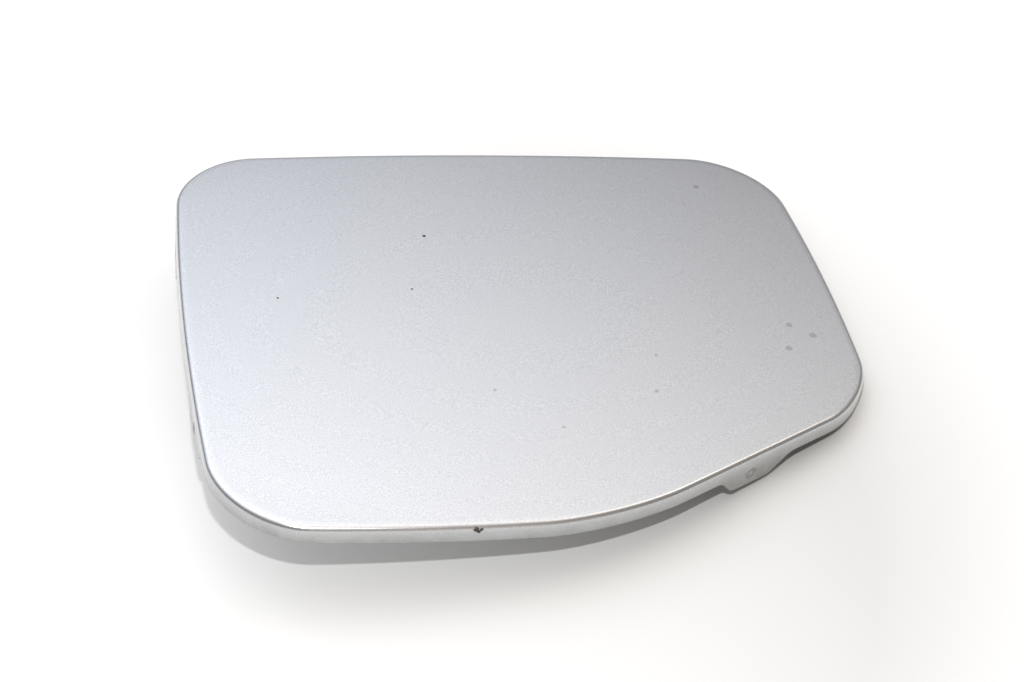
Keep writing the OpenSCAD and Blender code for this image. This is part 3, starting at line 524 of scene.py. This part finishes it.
def yellowZinc():
    mat, shader = newMaterial("yellowPassivatedZinc")
    coords = pieceCoords(mat)
    clouds = addNode(mat, "TexNoise", {"Scale": 1 / gilt["cloud"], "Detail": 3.0, "Roughness": 0.6},
                     {"Vector": coords})
    tone = addNode(mat, "ValToRGB", links={0: clouds}, stops=gilt["tones"])
    dulling = addNode(mat, "TexNoise", {"Scale": 1 / gilt["dulling"], "Detail": 4.0}, {"Vector": coords})
    roughness = addNode(mat, "MapRange", noiseSpan | {3: gilt["smoothest"], 4: gilt["roughest"]},
                        {0: dulling})
    grain = addNode(mat, "TexNoise", {"Scale": 1 / gilt["grain"], "Detail": 2.0}, {"Vector": coords})
    bump = addNode(mat, "Bump", {"Distance": gilt["grainDepth"] * mm}, {"Height": grain})
    setNode(mat, shader, {"Metallic": 1.0}, {"Base Color": tone, "Roughness": roughness, "Normal": bump})
    return mat


# Moulded polyamide in its natural colour: creamy, slightly deep, with a grey film of old grease in clouds
cast = {
    # sizes in mm, the spark grain coarser than a real mould's so that it shows
    "film": 4.5455, "cloud": 11.111, "sparkGrain": 0.33333, "grainDepth": 0.008, "glowDepth": 2.0,
    "tones": [(0.3, "#D9D3BE"), (0.7, "#E4DFCE")], "greaseTone": "#8F8B80", "greaseMost": 0.5,
    "roughness": 0.42, "greaseRoughness": 0.3, "glow": 0.15, "refraction": 1.53,
}


def mouldedNylon():
    mat, shader = newMaterial("naturalNylon")
    coords = pieceCoords(mat)
    grease = addNode(mat, "TexNoise", {"Scale": 1 / cast["film"], "Detail": 5.0, "Roughness": 0.7},
                     {"Vector": coords})
    film = addNode(mat, "MapRange", {1: 0.5, 2: 0.75, 3: 0.0, 4: cast["greaseMost"]}, {0: grease})
    cloud = addNode(mat, "TexNoise", {"Scale": 1 / cast["cloud"], "Detail": 3.0}, {"Vector": coords})
    cream = addNode(mat, "ValToRGB", links={0: cloud}, stops=cast["tones"])
    colour = addNode(mat, "Mix", {"data_type": "RGBA", 7: cast["greaseTone"]}, {0: film, 6: cream})
    roughness = addNode(mat, "Mix", {2: cast["roughness"], 3: cast["greaseRoughness"]}, {0: film})
    # fine spark-eroded mould grain
    grain = addNode(mat, "TexNoise", {"Scale": 1 / cast["sparkGrain"], "Detail": 2.0}, {"Vector": coords})
    bump = addNode(mat, "Bump", {"Distance": cast["grainDepth"] * mm}, {"Height": grain})
    setNode(mat, shader, {"Subsurface Weight": cast["glow"], "Subsurface Scale": cast["glowDepth"] * mm,
            "IOR": cast["refraction"]}, {"Base Color": colour, "Roughness": roughness, "Normal": bump})
    return mat


# Aluminium rivets, set by a press: bright crowns with fine scuffs
press = {
    # sizes in mm
    "scuffWide": 0.16667, "scuffLong": 1.4286, "scuffDepth": 0.002,
    "tones": [(0.35, "#B9BBBD"), (0.65, "#D2D3D4")], "smoothest": 0.32, "roughest": 0.45,
}


def setRivet():
    mat, shader = newMaterial("pressedAluminium")
    lines = (1 / press["scuffWide"], 1 / press["scuffLong"], 1 / press["scuffLong"])
    stretched = addNode(mat, "Mapping", {"Scale": lines}, {"Vector": pieceCoords(mat)})
    scuffs = addNode(mat, "TexNoise", {"Scale": 1.0, "Detail": 4.0}, {"Vector": stretched})
    tone = addNode(mat, "ValToRGB", links={0: scuffs}, stops=press["tones"])
    roughness = addNode(mat, "MapRange", noiseSpan | {3: press["smoothest"], 4: press["roughest"]},
                        {0: scuffs})
    bump = addNode(mat, "Bump", {"Distance": press["scuffDepth"] * mm}, {"Height": scuffs})
    setNode(mat, shader, {"Metallic": 1.0}, {"Base Color": tone, "Roughness": roughness, "Normal": bump})
    return mat


# Moulded EPDM rubber: near black and matt, with a dusty bloom and a fine grain
rubberMix = {
    # sizes in mm, the grain coarser than real rubber's so that it shows
    "bloom": 3.3333, "cloud": 1.4286, "grain": 0.4, "grainDepth": 0.015,
    "tones": [(0.3, "#17181A"), (0.7, "#232426")], "bloomTone": "#55534F", "bloomMost": 0.35,
    "roughness": 0.55, "bloomRoughness": 0.88, "specular": 0.4,
}


def mouldedRubber():
    mat, shader = newMaterial("mouldedRubber")
    coords = pieceCoords(mat)
    dusty = addNode(mat, "TexNoise", {"Scale": 1 / rubberMix["bloom"], "Detail": 6.0, "Roughness": 0.7},
                    {"Vector": coords})
    bloom = addNode(mat, "MapRange", {1: 0.45, 2: 0.75, 3: 0.0, 4: rubberMix["bloomMost"]}, {0: dusty})
    cloud = addNode(mat, "TexNoise", {"Scale": 1 / rubberMix["cloud"], "Detail": 3.0}, {"Vector": coords})
    black = addNode(mat, "ValToRGB", links={0: cloud}, stops=rubberMix["tones"])
    colour = addNode(mat, "Mix", {"data_type": "RGBA", 7: rubberMix["bloomTone"]}, {0: bloom, 6: black})
    roughness = addNode(mat, "Mix", {2: rubberMix["roughness"], 3: rubberMix["bloomRoughness"]}, {0: bloom})
    grain = addNode(mat, "TexNoise", {"Scale": 1 / rubberMix["grain"], "Detail": 3.0}, {"Vector": coords})
    bump = addNode(mat, "Bump", {"Distance": rubberMix["grainDepth"] * mm}, {"Height": grain})
    setNode(mat, shader, {"Specular IOR Level": rubberMix["specular"]},
            {"Base Color": colour, "Roughness": roughness, "Normal": bump})
    return mat


# Drawn and turned bright steel: fine rings round the pin and streaks of brown oil film
turned = {
    # sizes in mm, the rings further apart than real ones so that they show
    "ringStep": 0.49087, "film": 5.5556, "ringDepth": 0.006,
    "tones": [(0.2, "#A4A7AA"), (0.8, "#BEC0C2")], "filmTone": "#7C6F60", "filmMost": 0.4,
    "smoothest": 0.2, "roughest": 0.3, "filmRoughness": 0.42,
}


def turnedSteel():
    mat, shader = newMaterial("turnedBrightSteel")
    coords = pieceCoords(mat)
    # a wave texture's bands are 2 pi / 20 apart at a scale of 1
    wave = {"bands_direction": "Y", "Scale": 2 * math.pi / 20 / turned["ringStep"], "Distortion": 0.6,
            "Detail": 2.0}
    rings = addNode(mat, "TexWave", wave, {"Vector": coords}).outputs["Fac"]
    oil = addNode(mat, "TexNoise", {"Scale": 1 / turned["film"], "Detail": 5.0, "Roughness": 0.7},
                  {"Vector": coords})
    film = addNode(mat, "MapRange", {1: 0.5, 2: 0.75, 3: 0.0, 4: turned["filmMost"]}, {0: oil})
    tone = addNode(mat, "ValToRGB", links={0: rings}, stops=turned["tones"])
    colour = addNode(mat, "Mix", {"data_type": "RGBA", 7: turned["filmTone"]}, {0: film, 6: tone})
    sheen = addNode(mat, "MapRange", noiseSpan | {3: turned["smoothest"], 4: turned["roughest"]},
                    {0: rings})
    roughness = addNode(mat, "Mix", {3: turned["filmRoughness"]}, {0: film, 2: sheen})
    bump = addNode(mat, "Bump", {"Distance": turned["ringDepth"] * mm}, {"Height": rings})
    setNode(mat, shader, {"Metallic": 1.0}, {"Base Color": colour, "Roughness": roughness, "Normal": bump})
    return mat


# Spring wire, coiled, phosphated and oiled: charcoal, slightly crystalline, with a brown sheen
phosphate = {
    # sizes in mm, the crystals coarser than real ones so that they show
    "crystal": 0.41667, "oil": 6.6667, "crystalDepth": 0.01,
    "tones": [(0.3, "#3B3C3E"), (0.7, "#57585A")], "oilTone": "#4C4238", "oilMost": 0.7,
    "metallic": 0.85, "roughness": 0.55, "oilRoughness": 0.34,
}


def phosphatedWire():
    mat, shader = newMaterial("phosphatedSpringWire")
    coords = pieceCoords(mat)
    crystals = addNode(mat, "TexNoise", {"Scale": 1 / phosphate["crystal"], "Detail": 2.0},
                       {"Vector": coords})
    cloud = addNode(mat, "TexNoise", {"Scale": 1 / phosphate["oil"], "Detail": 4.0, "Roughness": 0.6},
                    {"Vector": coords})
    oil = addNode(mat, "MapRange", {1: 0.4, 2: 0.7, 3: 0.0, 4: phosphate["oilMost"]}, {0: cloud})
    tone = addNode(mat, "ValToRGB", links={0: crystals}, stops=phosphate["tones"])
    colour = addNode(mat, "Mix", {"data_type": "RGBA", 7: phosphate["oilTone"]}, {0: oil, 6: tone})
    roughness = addNode(mat, "Mix", {2: phosphate["roughness"], 3: phosphate["oilRoughness"]}, {0: oil})
    bump = addNode(mat, "Bump", {"Distance": phosphate["crystalDepth"] * mm}, {"Height": crystals})
    setNode(mat, shader, {"Metallic": phosphate["metallic"]},
            {"Base Color": colour, "Roughness": roughness, "Normal": bump})
    return mat


silverPaint = lacqueredSilverPaint()
panelPaint = thinSilverPaint()
paste = curedPaste()
zinc = barrelZinc()
yellow = yellowZinc()
nylon = mouldedNylon()
aluminium = setRivet()
rubber = mouldedRubber()
brightSteel = turnedSteel()
springWire = phosphatedWire()
print("scene: materials")

makeSkin(silverPaint)

# what is done to a copy of a CAD piece, in mm and degrees
rounding = {"merge": 0.002, "flat": 1.0, "shortest": 0.06, "crispFrom": 30, "roundFrom": 40, "segments": 2}


def rounded(node, name, body, material, slot, radius):
    # a copy's triangles are joined into whole faces and its sharp edges rounded, as tooling leaves them
    bm = bmesh.new()
    bm.from_mesh(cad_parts[node].data)
    bmesh.ops.remove_doubles(bm, verts=bm.verts, dist=rounding["merge"] * mm)
    bmesh.ops.dissolve_limit(bm, angle_limit=math.radians(rounding["flat"]), verts=bm.verts, edges=bm.edges)
    bmesh.ops.dissolve_degenerate(bm, dist=rounding["shortest"] * mm, edges=bm.edges)
    obj = finishMesh(bm, name, body, material, rounding["crispFrom"])
    edge = obj.modifiers.new("roundedEdges", "BEVEL")
    edge.width = radius * mm
    edge.segments = rounding["segments"]
    edge.limit_method = "ANGLE"
    edge.angle_limit = math.radians(rounding["roundFrom"])
    edge.use_clamp_overlap = False
    edge.harden_normals = True
    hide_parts(node)


# node, piece, body, material, slot, edge radius in mm
smallPieces = [
    ("inner_panel", "innerPanel", "flap", panelPaint, "panel_paint", 0.15),
    ("hinge_arm", "hingeArm", "flap", zinc, "zinc_steel", 0.18),
    ("arm_nuts", "flangeNuts", "flap", yellow, "yellow_zinc", 0.2),
    ("front_bush", "frontBush", "flap", nylon, "nylon", 0.15),
    ("rear_bush", "rearBush", "flap", nylon, "nylon", 0.15),
    ("latch_striker", "latchStriker", "flap", zinc, "zinc_steel", 0.25),
    ("striker_rivets", "strikerRivets", "flap", aluminium, "rivet", 0.1),
    ("front_buffer", "frontBuffer", "flap", rubber, "rubber", 0.3),
    ("rear_buffer", "rearBuffer", "flap", rubber, "rubber", 0.3),
    ("hinge_base", "hingeBracket", "bracket", zinc, "zinc_steel", 0.2),
    ("hinge_pin", "hingePin", "bracket", brightSteel, "pin_steel", 0.15),
    ("pin_clip", "pinClip", "bracket", springWire, "spring_steel", 0.1),
    ("spring_sleeve", "springSleeve", "bracket", nylon, "nylon", 0.15),
]
for row in smallPieces:
    rounded(*row)
print("scene: hinge, panel and fittings")

pad = {
    "places": [(42.0, 45.4), (42.0, 118.6), (95.0, 73.0), (95.0, 91.0), (147.0, 62.0), (147.0, 120.0)],
    # top of the panel below the flap's zero, and the gap to the skin
    "under": 5.2, "gap": 0.25,
    "radius": 5.0, "swell": 1.16, "flatten": 1.35, "wobble": 0.5, "waves": 0.35, "around": 32, "rows": 20,
}


def makePastePads():
    # a ball of paste for each place, squeezed flat between panel and skin so that its waist swells
    bm = bmesh.new()
    for u, v in pad["places"]:
        low, high = -pad["under"], crown(u, v) - skin["sheet"] - pad["gap"]
        half = (high - low) / 2
        ball = bmesh.ops.create_uvsphere(bm, u_segments=pad["around"], v_segments=pad["rows"],
                                         radius=1.0)["verts"]
        for vert in ball:
            p = vert.co * pad["radius"] * pad["swell"]
            p.z = max(-half, min(half, vert.co.z * half * pad["flatten"]))
            wave = mathNoise(Vector((u, v, 0)) + p * pad["waves"]) * pad["wobble"] * (1 - abs(p.z) / half)
            p += Vector((vert.co.x, vert.co.y, 0)) * wave
            vert.co = Vector((u, v, (low + high) / 2)) + p
    bmesh.ops.transform(bm, matrix=flapToFrame, verts=bm.verts)
    obj = finishMesh(bm, "flutterPaste", "flap", paste)
    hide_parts("flutter_pads")


thread = {
    "radius": 2.5, "pitch": 0.8, "depth": 0.42, "length": 8.0, "tip": 0.6, "tipShrink": 0.5,
    "u": 42.0, "middle": 82.0, "apart": 28.0, "under": 5.9,
    # steps of a turn, and how close two vertices have to be to be merged
    "steps": 32, "merge": 0.002,
    # where a turn starts to rise, reaches its crest, leaves it and is down again, as parts of the pitch
    "rise": 0.12, "crestFrom": 0.42, "crestTo": 0.58, "fallen": 0.88,
}


def makeStuds():
    # one thread period is spun into a helix, cut off square at both ends and chamfered at the tip
    bm = bmesh.new()
    crest, root, pitch = thread["radius"], thread["radius"] - thread["depth"], thread["pitch"]
    outline = [(root, 0.0), (root, thread["rise"]), (crest, thread["crestFrom"]),
               (crest, thread["crestTo"]), (root, thread["fallen"]), (root, 1.0)]
    points = [bm.verts.new((r, 0, (z - 1) * pitch)) for r, z in outline]
    lines = [bm.edges.new(pair) for pair in zip(points, points[1:])]
    turns = math.ceil(thread["length"] / pitch) + 2
    steps = thread["steps"]
    bmesh.ops.spin(bm, geom=points + lines, cent=(0, 0, 0), axis=(0, 0, 1), dvec=(0, 0, pitch / steps),
                   angle=2 * math.pi * turns, steps=steps * turns, use_merge=False)
    bmesh.ops.remove_doubles(bm, verts=bm.verts, dist=thread["merge"])
    for height, side in ((0.0, -1), (thread["length"], 1)):
        everything = bm.verts[:] + bm.edges[:] + bm.faces[:]
        cut = bmesh.ops.bisect_plane(bm, geom=everything, plane_co=(0, 0, height), plane_no=(0, 0, side),
                                     clear_outer=True)["geom_cut"]
        bmesh.ops.edgenet_fill(bm, edges=[e for e in cut if isinstance(e, bmesh.types.BMEdge)])
    for vert in bm.verts:
        near = max(0.0, vert.co.z - thread["length"] + thread["tip"]) / thread["tip"]
        shrink = min(1.0, (crest - thread["tipShrink"] * near) / math.hypot(vert.co.x, vert.co.y))
        vert.co.x, vert.co.y = vert.co.x * shrink, vert.co.y * shrink
    bmesh.ops.recalc_face_normals(bm, faces=bm.faces)
    # the tip points down, and the second stud is a copy
    bmesh.ops.rotate(bm, verts=bm.verts, matrix=Matrix.Rotation(math.pi, 3, "X"))
    first = (thread["u"], thread["middle"] - thread["apart"] / 2, -thread["under"])
    bmesh.ops.translate(bm, verts=bm.verts, vec=first)
    copy = bmesh.ops.duplicate(bm, geom=bm.verts[:] + bm.edges[:] + bm.faces[:])["geom"]
    bmesh.ops.translate(bm, verts=vertsOf(copy), vec=(0, thread["apart"], 0))
    bmesh.ops.transform(bm, matrix=flapToFrame, verts=bm.verts)
    obj = finishMesh(bm, "weldStuds", "flap", yellow, 25)
    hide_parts("arm_studs")


spring = {
    "wire": 1.6, "coilRadius": 5.3, "coilLength": 13.0, "turns": 6, "hookAlong": 13.0, "hookUp": 3.0,
    "hookEnd": 27.4, "bend": 1.6, "legEnd": -17.0,
    # steps of a turn, the hook, the bend and the leg, and sides of the wire
    "steps": 30, "hookSteps": 12, "bendSteps": 8, "legSteps": 6, "sides": 16,
}


def springPath():
    # about the pin, in mm: hook through the arm's ear, bend, coil along Y, leg down into the bracket
    r, length, bend = spring["coilRadius"], spring["coilLength"], spring["bend"]
    hookX = spring["hookAlong"] * math.cos(tiltAngle) + spring["hookUp"] * math.sin(tiltAngle)
    hookZ = spring["hookUp"] * math.cos(tiltAngle) - spring["hookAlong"] * math.sin(tiltAngle)
    first = math.atan2(hookZ, hookX) - math.acos(r / math.hypot(hookX, hookZ))
    corner = Vector((hookX, length / 2, hookZ))
    toCoil = (Vector((r * math.cos(first), length / 2, r * math.sin(first))) - corner).normalized()
    hook = length / 2 + bend - spring["hookEnd"]
    path = [Vector((hookX, spring["hookEnd"] + hook * k / spring["hookSteps"], hookZ))
            for k in range(spring["hookSteps"])]
    for k in range(spring["bendSteps"] + 1):
        a = math.pi / 2 * k / spring["bendSteps"]
        path.append(corner + Vector((0, bend * (1 - math.sin(a)), 0)) + toCoil * bend * (1 - math.cos(a)))
    sweep = 2 * math.pi * spring["turns"] + first
    count = round(spring["steps"] * sweep / (2 * math.pi))
    for k in range(count + 1):
        a = first - sweep * k / count
        path.append(Vector((r * math.cos(a), length * (0.5 - k / count), r * math.sin(a))))
    for k in range(1, spring["legSteps"] + 1):
        path.append(Vector((r, -length / 2, spring["legEnd"] * k / spring["legSteps"])))
    return path


def makeSpring():
    path = springPath()
    bm = bmesh.new()
    wire, sides = spring["wire"], spring["sides"]
    ring = bmesh.ops.create_circle(bm, cap_ends=True, radius=wire / 2, segments=sides)["verts"]
    section = [v.co.copy() for v in ring]
    along = Vector((0, 0, 1))
    turn = Matrix.Identity(3).to_quaternion()
    for k, point in enumerate(path):
        ahead = (path[min(k + 1, len(path) - 1)] - path[max(k - 1, 0)]).normalized()
        turn = along.rotation_difference(ahead) @ turn
        along = ahead
        places = [point + turn @ p for p in section]
        if k == 0:
            for vert, place in zip(ring, places):
                vert.co = place
        else:
            ring = pushLoop(bm, ring, lambda i: places[i])
    bmesh.ops.contextual_create(bm, geom=loopEdges(bm, ring))
    bmesh.ops.recalc_face_normals(bm, faces=bm.faces)
    pin = Vector((flap["pivotX"], 0, flap["pivotZ"])) * mm
    bmesh.ops.transform(bm, matrix=Matrix.Translation(pin) @ Matrix.Scale(mm, 4), verts=bm.verts)
    obj = finishMesh(bm, "torsionSpring", None, springWire)
    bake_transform(obj)
    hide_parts("torsion_spring")


makePastePads()
makeStuds()
makeSpring()
print("scene: paste, studs and spring")

# places in metres from here on
table = {
    "half": 6.0, "drop": 0.0002, "colour": "#CCCCCB", "roughness": 0.6, "specular": 0.2,
    # the table's glow for the camera and in reflections: painted light near the object, more under the raised
    # left side so that the shadow there is paler, none on the right, and most away from the object
    "paintedLightLeft": 0.275, "paintedLightRight": 0.0, "liftFar": 0.46, "leftEnd": -0.02, "rightEnd": 0.13,
    "middle": (0.01, -0.06, 0.0), "near": 0.13, "far": 0.24,
}


def makeTable():
    bm = bmesh.new()
    bmesh.ops.create_grid(bm, x_segments=1, y_segments=1, size=table["half"])
    bmesh.ops.translate(bm, verts=bm.verts, vec=(0, 0, -table["drop"]))
    mat, shader = newMaterial("whiteTableTop")
    setNode(mat, shader, {"Base Color": table["colour"], "Roughness": table["roughness"],
            "Specular IOR Level": table["specular"]}, {})
    path = addNode(mat, "LightPath").outputs
    seen = addNode(mat, "Math", {"operation": "ADD"}, {0: path["Is Camera Ray"], 1: path["Is Glossy Ray"]})
    # the glow grows away from the object, so that the table is white all round and keeps the shadow
    coords = addNode(mat, "TexCoord").outputs["Object"]
    away = addNode(mat, "VectorMath", {"operation": "DISTANCE", 1: table["middle"]}, {0: coords})
    across = addNode(mat, "SeparateXYZ", links={0: coords}).outputs["X"]
    # near the object the glow is painted light: strongest on the left, lightening the shadow under the raised
    # side, and fading to none on the right
    paintedLightNear = addNode(mat, "MapRange", {1: table["leftEnd"], 2: table["rightEnd"], 3: table["paintedLightLeft"],
                    4: table["paintedLightRight"]}, {0: across})
    far = addNode(mat, "MapRange", {1: table["near"], 2: table["far"], 3: 0.0, 4: 1.0}, {0: away})
    amount = addNode(mat, "Mix", {3: table["liftFar"]}, {0: far, 2: paintedLightNear})
    lift = addNode(mat, "Math", {"operation": "MULTIPLY"}, {0: seen, 1: amount})
    glow = addNode(mat, "Emission", links={"Strength": lift})
    total = addNode(mat, "AddShader", links={0: shader, 1: glow})
    setNode(mat, mat.node_tree.nodes["Material Output"], {}, {"Surface": total})
    finishMesh(bm, "tableTop", None, mat)


room = {
    # levels, where each light is seen from the object, and its reach in degrees
    "level": 0.28, "window": 3.0, "windowSide": (-0.12, 0.34, 0.933), "windowReach": 57.0,
    "lamp": 1.5, "lampSide": (0.62, 0.20, 0.76), "lampInner": 6.0, "lampOuter": 15.0,
    "front": 0.5, "frontSide": (0.3, -0.954, 0.0), "frontInner": 16.0, "frontOuter": 38.0,
    # daylight from the back left, warmer to the right and the front
    "warmSide": (0.7, -0.7, 0.0), "coolFrom": -0.5, "warmTo": 0.3,
    "tints": [(0.0, "#F3F7FF"), (0.45, "#FDFBFA"), (1.0, "#FFF5E9")],
}


def makeRoom():
    # a plain room with one broad pale window high at the back, brightest at its middle, a warm ceiling lamp
    # on the right, which lights the rim's bend, and a pale wall low in front, which keeps the bend's dark
    # line thin
    world = bpy.data.worlds.new("room")
    bpy.context.scene.world = world
    world.use_nodes = True
    coords = addNode(world, "TexCoord").outputs["Generated"]

    def glow(side, inner, outer, middle, rim):
        facing = addNode(world, "VectorMath", {"operation": "DOT_PRODUCT", 1: side}, {0: coords})
        angle = addNode(world, "Math", {"operation": "ARCCOSINE"}, {0: facing})
        reach = {1: math.radians(inner), 2: math.radians(outer), 3: middle, 4: rim}
        return addNode(world, "MapRange", reach, {0: angle})

    window = glow(room["windowSide"], 0.0, room["windowReach"], room["window"], room["level"])
    lamp = glow(room["lampSide"], room["lampInner"], room["lampOuter"], room["lamp"], 0.0)
    front = glow(room["frontSide"], room["frontInner"], room["frontOuter"], room["front"], 0.0)
    high = addNode(world, "Math", {"operation": "ADD"}, {0: window, 1: lamp})
    level = addNode(world, "Math", {"operation": "ADD"}, {0: high, 1: front})
    warm = addNode(world, "VectorMath", {"operation": "DOT_PRODUCT", 1: room["warmSide"]}, {0: coords})
    share = addNode(world, "MapRange", {1: room["coolFrom"], 2: room["warmTo"], 3: 0.0, 4: 1.0}, {0: warm})
    tint = addNode(world, "ValToRGB", links={0: share}, stops=room["tints"])
    setNode(world, world.node_tree.nodes["Background"], {}, {"Color": tint, "Strength": level})


flash = {"place": (-0.02, -0.38, 0.52), "target": (0.07, 0.0, 0.0), "size": (0.02, 0.012), "watts": 2.0}


def makeFlash():
    # a small hard light beside the camera, which draws the shadow's edge
    data = bpy.data.lights.new("flash", "AREA")
    data.shape = "RECTANGLE"
    data.size, data.size_y = flash["size"]
    data.energy = flash["watts"]
    lamp = bpy.data.objects.new("flash", data)
    lamp.location = flash["place"]
    aim = Vector(flash["target"]) - Vector(flash["place"])
    lamp.rotation_euler = aim.to_track_quat("-Z", "Y").to_euler()
    bpy.context.scene.collection.objects.link(lamp)


camera = {
    "place": (-0.0271971, -0.4497701, 0.4214262), "forward": (0.13543, 0.73070, -0.66913),
    "focalPixels": 2170.0, "width": 1024, "sensor": 36.0, "nearest": 0.01,
}


def makeCamera():
    data = bpy.data.cameras.new("camera")
    data.sensor_width = camera["sensor"]
    data.lens = camera["sensor"] * camera["focalPixels"] / camera["width"]
    data.clip_start = camera["nearest"]
    cam = bpy.data.objects.new("camera", data)
    cam.location = camera["place"]
    cam.rotation_euler = Vector(camera["forward"]).to_track_quat("-Z", "Y").to_euler()
    bpy.context.scene.collection.objects.link(cam)
    bpy.context.scene.camera = cam


makeTable()
makeRoom()
makeCamera()
makeFlash()
bpy.context.scene.view_settings.view_transform = "Standard"
print("scene: table, room, camera and flash")
